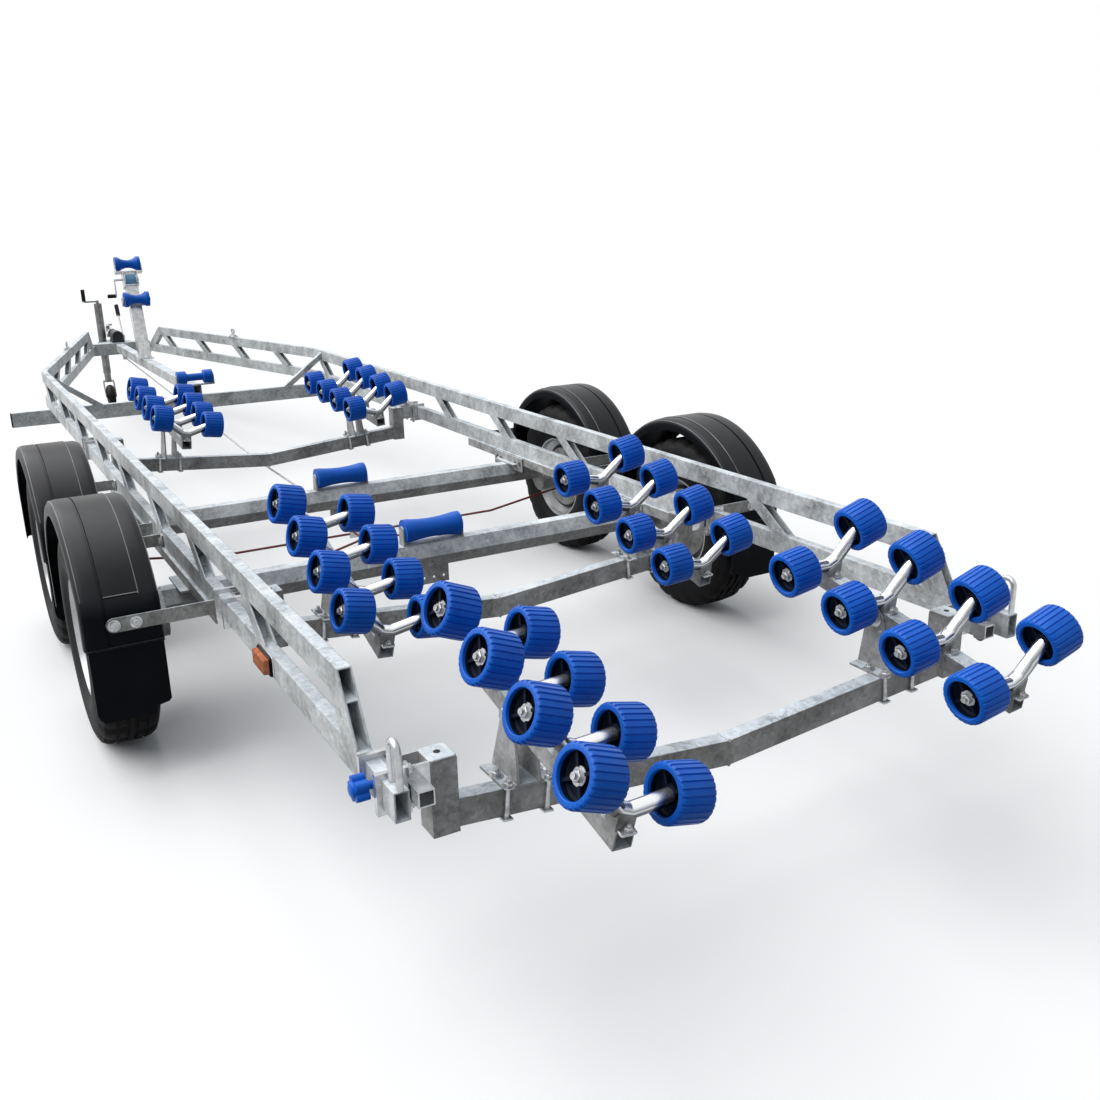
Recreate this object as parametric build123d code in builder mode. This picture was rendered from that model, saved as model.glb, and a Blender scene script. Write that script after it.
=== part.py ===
"""Tandem-axle roller boat trailer, parked on its jockey wheel.

Millimetres. +X is the trailer's right, +Y points forward to the coupling, +Z is up.
The origin is on the floor, under the middle of the trailer's length and width.
"""

import os
from math import atan2, cos, degrees, hypot, radians, sin, tan

from build123d import *

# Lattice side beams: two rectangular tubes each, parallel at the back, converging to the drawbar
TUBE_W, TUBE_H, TUBE_WALL = 30, 60, 3
RAIL_X = 807
UPPER_RAIL_Z = 625
LOWER_RAIL_Z = 484
UPPER_RAIL_REAR_Y = -3793
LOWER_RAIL_REAR_Y = -4060
RAIL_BEND_Y = 1253
NOSE_Y, NOSE_X = 3468, 274
NOSE_DROP_RUN = 190
STRUT_H, STRUT_WALL, STRUT_SLANT = 40, 4, 33
STRUT_FOOT_Y, STRUT_PITCH, STRUT_COUNT = -3257, 605, 8
END_STRUT_H, END_SLANT = 78, 60
FRONT_STRUT_STATIONS = (330, 900, 1470, 2040)

# Drawbar: cross tube, spine and plate that carry the coupling
CROSS_TUBE_Y, CROSS_TUBE_D, CROSS_TUBE_H, CROSS_TUBE_HALF = 3788, 60, 80, 232
SPINE_W, SPINE_H = 60, 60
PLATE_L, PLATE_NECK_W, PLATE_NECK, PLATE_T = 330, 108, 190, 10

# Straight cross beam under the bend, with a brace to each upper rail
FRONT_BEAM_Y, FRONT_BEAM_D, FRONT_BEAM_H, FRONT_BEAM_HALF = 1118, 40, 80, 1022
END_CAP_T = 6
BRACE_SIDE, BRACE_FOOT_X = 30, 560

# V-shaped cross beams that carry the roller cradles
V_BEAM_D, V_BEAM_H, V_BEAM_WALL = 40, 60, 4
V_BEAM_TOP_Z, V_BEAM_SLOPE = 356, 5.0
POST_X, POST_W, POST_D, POST_WALL = 692, 56, 60, 4
POST_LOW_Z, POST_HIGH_Z = 350, 510
CLAMP_PLATE_T, CLAMP_PLATE_L = 8, 110
U_BOLT_D = 12

# Roller cradles: one row per V beam
# row name, V beam y, pivot y, bracket x, pivot height over the beam, rest pitch tail down, bar lean outer end up
CRADLE_ROWS = (
    ("rear", -3955, -3928, 511, 136, 12.0, 21.5),
    ("middle", -2844, -2840, 510, 127, 15.5, 11.5),
    ("front", -352, -355, 467, 167, 5.5, 8.5),
)
ARM_SIDE, ARM_WALL = 40, 3
BAR_STATIONS = (-375, -187, 1, 189)
ARM_OVERHANG = 22
BAR_D, BAR_FLAT, BAR_BEND_R, BAR_RISE = 26, 30, 28, 29
SADDLE_H, SADDLE_L, SADDLE_W = 16, 36, 40
ROLLER_D, ROLLER_W, ROLLER_OFFSET = 114, 80, 108
ROLLER_RIBS, RIB_DEPTH = 16, 3.5
RECESS_D, RECESS_DEPTH = 78, 24
PIVOT_D, PIVOT_BUSH_D = 16, 26
EAR_T, EAR_R, BRACKET_BASE = 6, 24, 110
STOP_D, STOP_STATION, STOP_GAP = 12, 28, 0.3
PIN_GAP = 0.15

# Axles, wheels and mudguards
WHEEL_X = 1070
WHEEL_YS = (("rear", -2412), ("front", -1497))
TYRE_R, TYRE_W, BEAD_R, TYRE_CROWN_R = 325, 178, 176, 60
RIM_W, RIM_WALL, RIM_WELL_R, DISC_OFFSET = 150, 5, 150, 30
VENT_COUNT, VENT_D, VENT_DEPTH = 8, 24, 10
HUB_R, DRUM_R, DRUM_W, DRUM_WALL, SPINDLE_D = 46, 125, 62, 12, 40
AXLE_LEAD, AXLE_Z, AXLE_FLATS, AXLE_WALL, AXLE_HALF = 50, 372, 84, 10, 900
CARRIER_W, CARRIER_WALL, CARRIER_LONG = 50, 5, 1750
SADDLE_PLATE_T = 6
CHEEK_LONG, CHEEK_H, CHEEK_HOLE_D, CHEEK_HOLES = 260, 60, 24, (-104, -68, 68, 104)
HANGER_W, HANGER_T, HANGER_LOW_Z = 110, 8, 262
ARM_PLATE_T, ARM_BOSS_R = 26, 44
BACKPLATE_T, BACKPLATE_GAP = 6, 5
GUARD_HALF, GUARD_TOP_Z, GUARD_R, GUARD_CORNER_R = 374, 732, 440, 90
GUARD_W, GUARD_T, GUARD_LIP = 206, 5, 45
GUARD_REAR_Z, GUARD_FRONT_Z = 200, 320
STRAP_H, STRAP_T, STRAP_LEG = 40, 5, 26

# Brake rod under the frame, its yoke between the axles and a cable to each wheel
ROD_D, ROD_Z, ROD_BEND_Y, ROD_FRONT_Y, ROD_FRONT_Z, COUPLER_LONG = 10, 284, -250, 3600, 424, 60
YOKE_Y, YOKE_W, YOKE_H, YOKE_T = -1700, 130, 34, 8
CABLE_D, CABLE_BEND_R, CABLE_END_Z, CABLE_BACK = 9, 90, 300, 90
LEVER_PLATE_W, LEVER_PLATE_T = 30, 16

# Overrun coupling and hand brake
SHAFT_Z, SHAFT_D = 572, 50
HOUSING_LONG, HOUSING_D = 150, 84
GAITER_LONG, GAITER_D, GAITER_FOLDS = 130, 72, 5
HEAD_LONG, HEAD_W, BALL_R = 307.4, 76, 25
LEVER_D, LEVER_LONG, GRIP_D, GRIP_LONG = 16, 190, 30, 95

# Jockey wheel
JACK_X, JACK_Y = -90, 4018
JACK_TUBE_D, JACK_TUBE_WALL, JACK_TUBE_LOW, JACK_TUBE_TOP = 60, 4, 262, 815
JACK_LEG_D, JACK_SLIDE_GAP = 51, 0.3
JACK_WHEEL_R, JACK_WHEEL_W, JACK_TRAIL = 85, 62, 42
FORK_T, FORK_GAP, FORK_TOP_T = 6, 5, 10
CRANK_R, CRANK_GRIP_LONG, CRANK_GRIP_D, CRANK_ROD_D = 100, 95, 28, 12

# Winch post, winch and bow rollers
POST_FOOT_Y, POST_LEAN, POST_SIDE, POST_LONG = 2704, 20, 80, 520
WINCH_HALF, WINCH_PLATE_T, WINCH_H, WINCH_BASE, WINCH_NECK = 46, 5, 100, 100, 64
PLATFORM_T, WINCH_SHAFT_D, DRUM_GAP, SHAFT_STUB = 6, 16, 8, 12
DRUM_FLANGE_R, DRUM_STRAP_R = 42, 34
HANDLE_GAP, HANDLE_LONG, HANDLE_W, HANDLE_T, HANDLE_GRIP_D, HANDLE_GRIP_LONG = 58, 110, 22, 8, 26, 55
BOW_ROLLER_R, BOW_ROLLER_WAIST, BOW_ROLLER_LONG, BOW_FLANGE = 52, 28, 170, 22
LOW_ROLLER_UP, LOW_ROLLER_BACK, TOP_ROLLER_GAP = 400, 62, 6

# Keel rollers on the spine's end and on both axles
KEEL_ROLLER_R, KEEL_ROLLER_WAIST, KEEL_ROLLER_LONG, KEEL_PIN_D = 40, 33, 205, 20
KEEL_FLANGE, DUMBBELL_WAIST, DUMBBELL_END = 18, 22, 50
KEEL_EAR_T, KEEL_GAP = 6, 2
KEEL_FLOOR_GAP = 8

# Rear fittings, lamps and eyes
SOCKET_SIDE, SOCKET_WALL, SOCKET_INSET = 34, 3, 20
SOCKET_X, SOCKET_Z = 752, 474
KNOB_D, KNOB_LOBES, KNOB_T = 54, 5, 26
LAMP_Y, LAMP_L, LAMP_H, LAMP_T = -3262, 100, 42, 22
EYE_STATION, EYE_PLATE_T, EYE_HOLE_D, EYE_H = 1093, 10, 22, 62
LOOP_D, LOOP_W, LOOP_H = 14, 52, 95

PART_FOLDER = "parts"

# Places that follow from the sizes above
RAIL_ANGLE = degrees(atan2(RAIL_X - NOSE_X, NOSE_Y - RAIL_BEND_Y))
UPPER_TOP = UPPER_RAIL_Z + TUBE_H / 2
UPPER_LOW = UPPER_RAIL_Z - TUBE_H / 2
LOWER_TOP = LOWER_RAIL_Z + TUBE_H / 2
LOWER_LOW = LOWER_RAIL_Z - TUBE_H / 2
STRAP_Z = LOWER_LOW + STRAP_H / 2
CROSS_TUBE_REAR = CROSS_TUBE_Y - CROSS_TUBE_D / 2
V_RISE = tan(radians(V_BEAM_SLOPE))


def rail_x_at(y):
    """Distance from the centre line to a side beam's middle, at a place along the trailer."""
    return RAIL_X - max(0, y - RAIL_BEND_Y) * tan(radians(RAIL_ANGLE))


def v_top_at(x):
    """Height of a V beam's top at a distance from the centre line."""
    return V_BEAM_TOP_Z + x * V_RISE


def across(origin):
    """Plane through a point with its normal along X, its x forward and its y up."""
    return Plane(origin=origin, x_dir=(0, 1, 0), z_dir=(1, 0, 0))


def save(part, name):
    part.label = name
    export_step(part, os.path.join(PART_FOLDER, name + ".step"))


def both_sides(part):
    """The right-hand piece with its mirror image, as one node."""
    with BuildPart() as pair:
        add(part)
        mirror(about=Plane.YZ)
    return pair.part


def tube_along(points, width, height, wall):
    """A rectangular tube along a line of points, mitred at its corners, with its height upright."""
    with BuildPart() as tube:
        with BuildLine() as path:
            Polyline(*points)
        start = Vector(*points[0])
        heading = Vector(*points[1]) - start
        side = heading.cross(Vector(0, 0, 1))
        with BuildSketch(Plane(origin=start, x_dir=side, z_dir=heading)):
            Rectangle(width, height)
            Rectangle(width - 2 * wall, height - 2 * wall, mode=Mode.SUBTRACT)
        sweep(path=path.line, transition=Transition.RIGHT)
    return tube.part


def block(low, high):
    """A plain block in the open part, from its lowest to its highest corner."""
    size = [b - a for a, b in zip(low, high)]
    centre = [(a + b) / 2 for a, b in zip(low, high)]
    with Locations(tuple(centre)):
        Box(*size)


def joined(pieces):
    """Finished pieces as one node."""
    with BuildPart() as whole:
        for piece in pieces:
            add(piece)
    return whole.part


# Side beams

def upper_rails():
    drop = UPPER_RAIL_Z - LOWER_RAIL_Z
    end_y = NOSE_Y + NOSE_DROP_RUN
    line = [
        (RAIL_X, UPPER_RAIL_REAR_Y - TUBE_H, UPPER_RAIL_Z),
        (RAIL_X, RAIL_BEND_Y, UPPER_RAIL_Z),
        (NOSE_X, NOSE_Y, UPPER_RAIL_Z),
        (rail_x_at(end_y), end_y, UPPER_RAIL_Z - drop),
    ]
    tube = tube_along(line, TUBE_W, TUBE_H, TUBE_WALL)
    slant = radians(END_SLANT)
    ahead = (0, sin(slant), -cos(slant))
    rear_cut = Plane(origin=(RAIL_X, UPPER_RAIL_REAR_Y, UPPER_TOP), x_dir=(1, 0, 0), z_dir=ahead)
    with BuildPart() as rail:
        add(tube)
        split(bisect_by=Plane.XY.offset(LOWER_TOP), keep=Keep.TOP)
        split(bisect_by=rear_cut, keep=Keep.TOP)
    return both_sides(rail.part)


def lower_rails():
    line = [
        (RAIL_X, LOWER_RAIL_REAR_Y, LOWER_RAIL_Z),
        (RAIL_X, RAIL_BEND_Y, LOWER_RAIL_Z),
        (rail_x_at(CROSS_TUBE_Y), CROSS_TUBE_Y, LOWER_RAIL_Z),
    ]
    tube = tube_along(line, TUBE_W, TUBE_H, TUBE_WALL)
    with BuildPart() as rail:
        add(tube)
        split(bisect_by=Plane.XZ.offset(-CROSS_TUBE_REAR), keep=Keep.TOP)
    return both_sides(rail.part)


def strut(plane, height, slant):
    """A pressed channel between the rails, open to the back. The plane's x runs forward, its y up."""
    gap = UPPER_LOW - LOWER_TOP
    run = gap / tan(radians(slant))
    foot = height / sin(radians(slant))
    web = STRUT_WALL / sin(radians(slant))
    with BuildPart() as channel:
        with BuildSketch(plane):
            Polygon((0, 0), (foot, 0), (foot + run, gap), (run, gap), align=None)
        extrude(amount=TUBE_W / 2, both=True)
        with BuildSketch(plane):
            Polygon((0, 0), (foot - web, 0), (foot - web + run, gap), (run, gap), align=None)
        extrude(amount=TUBE_W / 2 - STRUT_WALL, both=True, mode=Mode.SUBTRACT)
    return channel.part


def corner_brace():
    """A square bar from the front beam's top up to the upper rail's inner face."""
    foot = Vector(BRACE_FOOT_X, FRONT_BEAM_Y, LOWER_LOW)
    head = Vector(RAIL_X - TUBE_W / 2, FRONT_BEAM_Y, UPPER_RAIL_Z)
    heading = head - foot
    with BuildPart() as brace:
        with BuildSketch(Plane(origin=foot - heading, x_dir=(0, 1, 0), z_dir=heading)):
            Rectangle(BRACE_SIDE, BRACE_SIDE)
        extrude(amount=3 * heading.length)
        split(bisect_by=Plane.XY.offset(LOWER_LOW), keep=Keep.TOP)
        split(bisect_by=Plane.YZ.offset(RAIL_X - TUBE_W / 2), keep=Keep.BOTTOM)
    return brace.part


def rail_struts():
    end_foot = UPPER_RAIL_REAR_Y - (UPPER_TOP - LOWER_TOP) / tan(radians(END_SLANT))
    struts = [corner_brace(), strut(across((RAIL_X, end_foot, LOWER_TOP)), END_STRUT_H, END_SLANT)]
    for index in range(STRUT_COUNT):
        foot = across((RAIL_X, STRUT_FOOT_Y + index * STRUT_PITCH, LOWER_TOP))
        struts.append(strut(foot, STRUT_H, STRUT_SLANT))
    ahead = Vector(-sin(radians(RAIL_ANGLE)), cos(radians(RAIL_ANGLE)), 0)
    for station in FRONT_STRUT_STATIONS:
        place = Vector(RAIL_X, RAIL_BEND_Y, LOWER_TOP) + ahead * station
        foot = Plane(origin=place, x_dir=ahead, z_dir=(ahead.Y, -ahead.X, 0))
        struts.append(strut(foot, STRUT_H, STRUT_SLANT))
    return both_sides(joined(struts))


# Drawbar

def drawbar_tubes():
    """Cross tube, spine and coupling plate, welded together."""
    tube_top = LOWER_TOP
    tube_z = tube_top - CROSS_TUBE_H / 2
    spine_rear = FRONT_BEAM_Y - FRONT_BEAM_D / 2
    spine_z = tube_top - SPINE_H / 2
    tube = tube_along([(-CROSS_TUBE_HALF, CROSS_TUBE_Y, tube_z), (CROSS_TUBE_HALF, CROSS_TUBE_Y, tube_z)],
                      CROSS_TUBE_D, CROSS_TUBE_H, TUBE_WALL + 1)
    spine = tube_along([(0, spine_rear, spine_z), (0, CROSS_TUBE_REAR, spine_z)], SPINE_W, SPINE_H, TUBE_WALL + 1)
    with BuildPart() as drawbar:
        add(tube)
        add(spine)
        half, neck = CROSS_TUBE_HALF, PLATE_NECK_W / 2
        tube_front, neck_y, plate_front = CROSS_TUBE_D, PLATE_NECK, PLATE_L
        with BuildSketch(Plane(origin=(0, CROSS_TUBE_REAR, tube_top))):
            Polygon((-half, 0), (half, 0), (half, tube_front), (neck, neck_y), (neck, plate_front),
                    (-neck, plate_front), (-neck, neck_y), (-half, tube_front), align=None)
        extrude(amount=PLATE_T)
    return drawbar.part


def front_cross_beam():
    z = LOWER_LOW - FRONT_BEAM_H / 2
    return tube_along([(-FRONT_BEAM_HALF, FRONT_BEAM_Y, z), (FRONT_BEAM_HALF, FRONT_BEAM_Y, z)],
                      FRONT_BEAM_D, FRONT_BEAM_H, TUBE_WALL + 1)


def beam_end_caps():
    z = LOWER_LOW - FRONT_BEAM_H / 2
    with BuildPart() as cap:
        with BuildSketch(Plane.YZ.offset(FRONT_BEAM_HALF)):
            with Locations((FRONT_BEAM_Y, z)):
                Rectangle(FRONT_BEAM_D, FRONT_BEAM_H)
        extrude(amount=END_CAP_T, taper=20)
    return both_sides(cap.part)


# V beams and what clamps them to the lower rails

def v_beam(y):
    """Two tube halves meeting in a shallow V, with an upright post welded to each end."""
    inner = POST_X - POST_W / 2
    centre_z = V_BEAM_TOP_Z - V_BEAM_H / 2 / cos(radians(V_BEAM_SLOPE))
    end = (inner + POST_WALL / 2, y, centre_z + (inner + POST_WALL / 2) * V_RISE)
    tube = tube_along([(-end[0], y, end[2]), (0, y, centre_z), end], V_BEAM_D, V_BEAM_H, V_BEAM_WALL)
    with BuildPart() as beam:
        add(tube)
        for side in (-1, 1):
            with BuildSketch(Plane.XY.offset(POST_LOW_Z)):
                with Locations((side * POST_X, y)):
                    Rectangle(POST_W, POST_D)
                    Rectangle(POST_W - 2 * POST_WALL, POST_D - 2 * POST_WALL, mode=Mode.SUBTRACT)
            extrude(amount=POST_HIGH_Z - POST_LOW_Z)
    return beam.part


def v_beams():
    return joined([v_beam(row[1]) for row in CRADLE_ROWS])


def beam_clamp(y):
    """Two cheek plates from a post to the lower rail, and a square U bolt round the rail at each cheek."""
    post_out = POST_X + POST_W / 2
    rail_in, rail_out = RAIL_X - TUBE_W / 2, RAIL_X + TUBE_W / 2
    with BuildPart() as clamp:
        for side in (-1, 1):
            cheek = y + side * (POST_D / 2 - CLAMP_PLATE_T / 2)
            block((post_out, cheek - CLAMP_PLATE_T / 2, LOWER_LOW),
                  (rail_in, cheek + CLAMP_PLATE_T / 2, LOWER_TOP))
            bolt = y + side * (POST_D / 2 + U_BOLT_D)
            with BuildSketch(Plane.XZ.offset(-bolt)):
                with Locations(((rail_in + rail_out) / 2 - CLAMP_PLATE_T / 2, LOWER_RAIL_Z)):
                    Rectangle(TUBE_W + CLAMP_PLATE_T + 2 * U_BOLT_D, TUBE_H + 2 * U_BOLT_D)
                    Rectangle(TUBE_W + CLAMP_PLATE_T, TUBE_H, mode=Mode.SUBTRACT)
            extrude(amount=U_BOLT_D / 2, both=True)
        block((rail_in - CLAMP_PLATE_T, y - CLAMP_PLATE_L / 2, LOWER_LOW),
              (rail_in, y + CLAMP_PLATE_L / 2, LOWER_TOP))
    return clamp.part


def beam_clamps():
    return both_sides(joined([beam_clamp(row[1]) for row in CRADLE_ROWS]))


# Roller cradles

def cradle_plane(row, side):
    """Plane on a cradle's pivot: x outboard along the V beam, y forward, z square to the beam."""
    _, _, y, x, rise, *_ = row
    slope = radians(V_BEAM_SLOPE)
    normal = Vector(-side * sin(slope), 0, cos(slope))
    seat = Vector(side * x, y, v_top_at(x))
    return Plane(origin=seat + normal * rise, x_dir=(cos(slope), 0, side * sin(slope)), z_dir=normal)


def cradle_place(row, side):
    """The pivot plane turned to the arm's rest pitch, tail down."""
    return cradle_plane(row, side).location * Location((0, 0, 0), (row[5], 0, 0))


def roller_solid():
    """A ribbed roller on the X axis with a recess in each end."""
    with BuildPart() as roller:
        with BuildSketch(Plane.YZ):
            step = 360 / ROLLER_RIBS
            crest, valley = ROLLER_D / 2, ROLLER_D / 2 - RIB_DEPTH
            with BuildLine():
                points = []
                for rib in range(ROLLER_RIBS):
                    points.append(Vector(crest, 0).rotate(Axis.Z, rib * step))
                    points.append(Vector(valley, 0).rotate(Axis.Z, (rib + 0.5) * step))
                Polyline(*points, close=True)
            make_face()
        extrude(amount=ROLLER_W / 2, both=True)
        for end in (-1, 1):
            with BuildSketch(Plane.YZ.offset(end * (ROLLER_W / 2 - RECESS_DEPTH))):
                RegularPolygon(RECESS_D / 2, ROLLER_RIBS // 2)
            extrude(amount=end * RECESS_DEPTH, mode=Mode.SUBTRACT)
    return roller.part


def bar_height():
    """Height of a roller bar's middle above the arm's centre line."""
    return ARM_SIDE / 2 + SADDLE_H + BAR_D / 2


def roller_frames(lean):
    """Where the two rollers of a bar sit, from the bar's middle, with the bar leaning outer end up."""
    rise = (ROLLER_OFFSET - BAR_FLAT / 2) * tan(radians(BAR_RISE))
    tilt = Location((0, 0, 0), (0, -lean, 0))
    return [tilt * Location((end * ROLLER_OFFSET, 0, rise), (0, -end * BAR_RISE, 0)) for end in (-1, 1)]


def roller_bar():
    """A round bar with its two ends bent up, from one roller's inner recess floor to the other's."""
    reach = ROLLER_OFFSET - (ROLLER_W / 2 - RECESS_DEPTH) * cos(radians(BAR_RISE))
    rise = (reach - BAR_FLAT / 2) * tan(radians(BAR_RISE))
    line = [(-reach, 0, rise), (-BAR_FLAT / 2, 0, 0), (BAR_FLAT / 2, 0, 0), (reach, 0, rise)]
    with BuildPart() as bar:
        with BuildLine() as path:
            FilletPolyline(*line, radius=BAR_BEND_R)
        with BuildSketch(Plane(origin=path.line @ 0, z_dir=path.line % 0)):
            Circle(BAR_D / 2)
        sweep(path=path.line)
    return bar.part


def cradle_arm(row, side):
    """The arm tube with its pivot bush, a leaning saddle and a bent bar at each roller pair."""
    lean = side * row[6]
    rear, front = BAR_STATIONS[0] - ARM_OVERHANG, BAR_STATIONS[-1] + ARM_OVERHANG
    tube = tube_along([(0, rear, 0), (0, front, 0)], ARM_SIDE, ARM_SIDE, ARM_WALL)
    bar = roller_bar()
    with BuildPart() as arm:
        add(tube)
        with BuildSketch(Plane.YZ):
            Circle(PIVOT_BUSH_D / 2)
        extrude(amount=ARM_SIDE / 2, both=True)
        with BuildSketch(Plane.YZ):
            Circle(PIVOT_D / 2 + PIN_GAP)
        extrude(amount=ARM_SIDE, both=True, mode=Mode.SUBTRACT)
        half = SADDLE_W / 2
        dip = half * tan(radians(lean))
        for station in BAR_STATIONS:
            with BuildSketch(Plane.XZ.offset(-station)):
                Polygon((-half, ARM_SIDE / 2), (half, ARM_SIDE / 2), (half, bar_height() + dip),
                        (-half, bar_height() - dip), align=None)
            extrude(amount=SADDLE_L / 2, both=True)
            with Locations(Location((0, station, bar_height()), (0, -lean, 0))):
                add(bar)
    return arm.part.moved(cradle_place(row, side))


def cradle_rollers(row, side):
    lean = side * row[6]
    roller = roller_solid()
    with BuildPart() as rollers:
        for station in BAR_STATIONS:
            for frame in roller_frames(lean):
                with Locations(Location((0, station, bar_height())) * frame):
                    add(roller)
    return rollers.part.moved(cradle_place(row, side))


def cradle_bracket(row, side):
    """A base plate on the V beam, two ears beside the arm, the pivot bolt and the tail's stop bolt."""
    rise, pitch = row[4], radians(row[5])
    ear = ARM_SIDE / 2 + 1
    drop = ARM_SIDE / 2 + STOP_D / 2 + STOP_GAP
    stop = (drop * sin(pitch) - STOP_STATION * cos(pitch), -STOP_STATION * sin(pitch) - drop * cos(pitch))
    with BuildPart() as bracket:
        with BuildSketch(Plane.XY.offset(-rise)):
            Rectangle(BRACKET_BASE, BRACKET_BASE)
        extrude(amount=EAR_T)
        for end in (-1, 1):
            with BuildSketch(Plane.YZ.offset(end * ear)):
                Circle(EAR_R)
                with Locations((0, EAR_T - rise + 1)):
                    Rectangle(BRACKET_BASE, 2)
                make_hull()
            extrude(amount=end * EAR_T)
        with BuildSketch(Plane.YZ):
            Circle(PIVOT_D / 2)
            with Locations(stop):
                Circle(STOP_D / 2)
        extrude(amount=ear + EAR_T + 8, both=True)
    return bracket.part.moved(cradle_plane(row, side).location)


def cradle_brackets():
    return joined([cradle_bracket(row, side) for row in CRADLE_ROWS for side in (-1, 1)])


# Axles and wheels

def axle_carriers():
    """A channel under each lower rail, open downwards, that both axles bolt to."""
    low = AXLE_Z + AXLE_FLATS / 2 + SADDLE_PLATE_T
    middle = sum(y for _, y in WHEEL_YS) / len(WHEEL_YS) + AXLE_LEAD
    with BuildPart() as carrier:
        block((RAIL_X - CARRIER_W / 2, middle - CARRIER_LONG / 2, low),
              (RAIL_X + CARRIER_W / 2, middle + CARRIER_LONG / 2, LOWER_LOW))
        inside = CARRIER_W / 2 - CARRIER_WALL
        with BuildSketch(Plane.XY.offset(low)):
            with Locations((RAIL_X, middle)):
                Rectangle(2 * inside, CARRIER_LONG)
        extrude(amount=LOWER_LOW - low - CARRIER_WALL, mode=Mode.SUBTRACT)
    return both_sides(carrier.part)


def axle_tube(wheel_y):
    """A hexagonal tube with a saddle plate and a drilled cheek at each carrier, and a hanger under its middle."""
    y = wheel_y + AXLE_LEAD
    with BuildPart() as axle:
        with BuildSketch(Plane.YZ):
            with Locations((y, AXLE_Z)):
                RegularPolygon(AXLE_FLATS / 2, 6, major_radius=False)
                RegularPolygon(AXLE_FLATS / 2 - AXLE_WALL, 6, major_radius=False, mode=Mode.SUBTRACT)
        extrude(amount=AXLE_HALF, both=True)
        plate_low = AXLE_Z + AXLE_FLATS / 2
        for side in (-1, 1):
            block((side * RAIL_X - CARRIER_W, y - AXLE_FLATS, plate_low),
                  (side * RAIL_X + CARRIER_W, y + AXLE_FLATS, plate_low + SADDLE_PLATE_T))
            cheek_z = plate_low + SADDLE_PLATE_T
            with BuildSketch(across((side * (RAIL_X - CARRIER_W / 2), y, cheek_z))):
                Rectangle(CHEEK_LONG, CHEEK_H)
                with Locations(*[(hole, 0) for hole in CHEEK_HOLES]):
                    Circle(CHEEK_HOLE_D / 2, mode=Mode.SUBTRACT)
            extrude(amount=-side * SADDLE_PLATE_T)
        with BuildSketch(Plane.XZ.offset(-y)):
            with Locations((0, (HANGER_LOW_Z + AXLE_Z) / 2)):
                Rectangle(HANGER_W, AXLE_Z - HANGER_LOW_Z)
            with Locations((0, AXLE_Z)):
                Rectangle(HANGER_W, AXLE_FLATS - AXLE_WALL, mode=Mode.SUBTRACT)
            with Locations((0, ROD_Z), (-HANGER_W / 3, ROD_Z), (HANGER_W / 3, ROD_Z)):
                Circle(ROD_D / 2, mode=Mode.SUBTRACT)
        extrude(amount=HANGER_T / 2, both=True)
    return axle.part


def axle_tubes():
    return joined([axle_tube(y) for _, y in WHEEL_YS])


def brake_rod():
    """The pull rod in two straight runs: the yoke to a coupler, then up to the lever plate under the spine."""
    spine_low = LOWER_TOP - SPINE_H
    joint_y = ROD_BEND_Y + COUPLER_LONG + PIN_GAP
    run = (0, ROD_FRONT_Y - joint_y, ROD_FRONT_Z - ROD_Z)
    with BuildPart() as rod:
        with BuildSketch(Plane.XZ.offset(-ROD_BEND_Y)):
            with Locations((0, ROD_Z)):
                Circle(ROD_D / 2)
        extrude(amount=ROD_BEND_Y - YOKE_Y)
        with BuildSketch(Plane.XZ.offset(-ROD_BEND_Y)):
            with Locations((0, ROD_Z)):
                RegularPolygon(ROD_D, 6)
        extrude(amount=-COUPLER_LONG)
        block((-YOKE_W / 2, YOKE_Y - YOKE_T / 2, ROD_Z - YOKE_H / 2),
              (YOKE_W / 2, YOKE_Y + YOKE_T / 2, ROD_Z + YOKE_H / 2))
        with BuildSketch(Plane.XZ.offset(-joint_y)):
            with Locations((0, ROD_Z)):
                Circle(ROD_D / 2)
        extrude(amount=hypot(*run), dir=run)
        block((-LEVER_PLATE_W / 2, ROD_FRONT_Y - LEVER_PLATE_T / 2, ROD_FRONT_Z - LEVER_PLATE_W / 2),
              (LEVER_PLATE_W / 2, ROD_FRONT_Y + LEVER_PLATE_T / 2, spine_low))
    return rod.part


def brake_cable(points):
    with BuildPart() as cable:
        with BuildLine() as path:
            FilletPolyline(*points, radius=CABLE_BEND_R)
        with BuildSketch(Plane(origin=path.line @ 0, z_dir=path.line % 0)):
            Circle(CABLE_D / 2)
        sweep(path=path.line)
    return cable.part


def brake_cables():
    """A cable from the yoke's end to the front back plate, and one from its rear face to the rear back plate."""
    plate = WHEEL_X + DISC_OFFSET - DRUM_W - BACKPLATE_GAP - BACKPLATE_T
    rear_y, front_y = [y for _, y in WHEEL_YS]
    run_in = AXLE_HALF + ARM_PLATE_T
    front_end, rear_end = front_y - CABLE_BACK, rear_y + CABLE_BACK
    ahead = [(YOKE_W / 2, YOKE_Y, ROD_Z), (run_in * 0.6, YOKE_Y, ROD_Z),
             (run_in, front_end, CABLE_END_Z), (plate, front_end, CABLE_END_Z)]
    start = (YOKE_W / 3, YOKE_Y - YOKE_T / 2, ROD_Z)
    behind = [start, (start[0], start[1] - CABLE_BEND_R, ROD_Z),
              (run_in * 0.7, (YOKE_Y + 3 * rear_end) / 4, ROD_Z),
              (run_in, rear_end, CABLE_END_Z), (plate, rear_end, CABLE_END_Z)]
    return both_sides(joined([brake_cable(ahead), brake_cable(behind)]))


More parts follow.
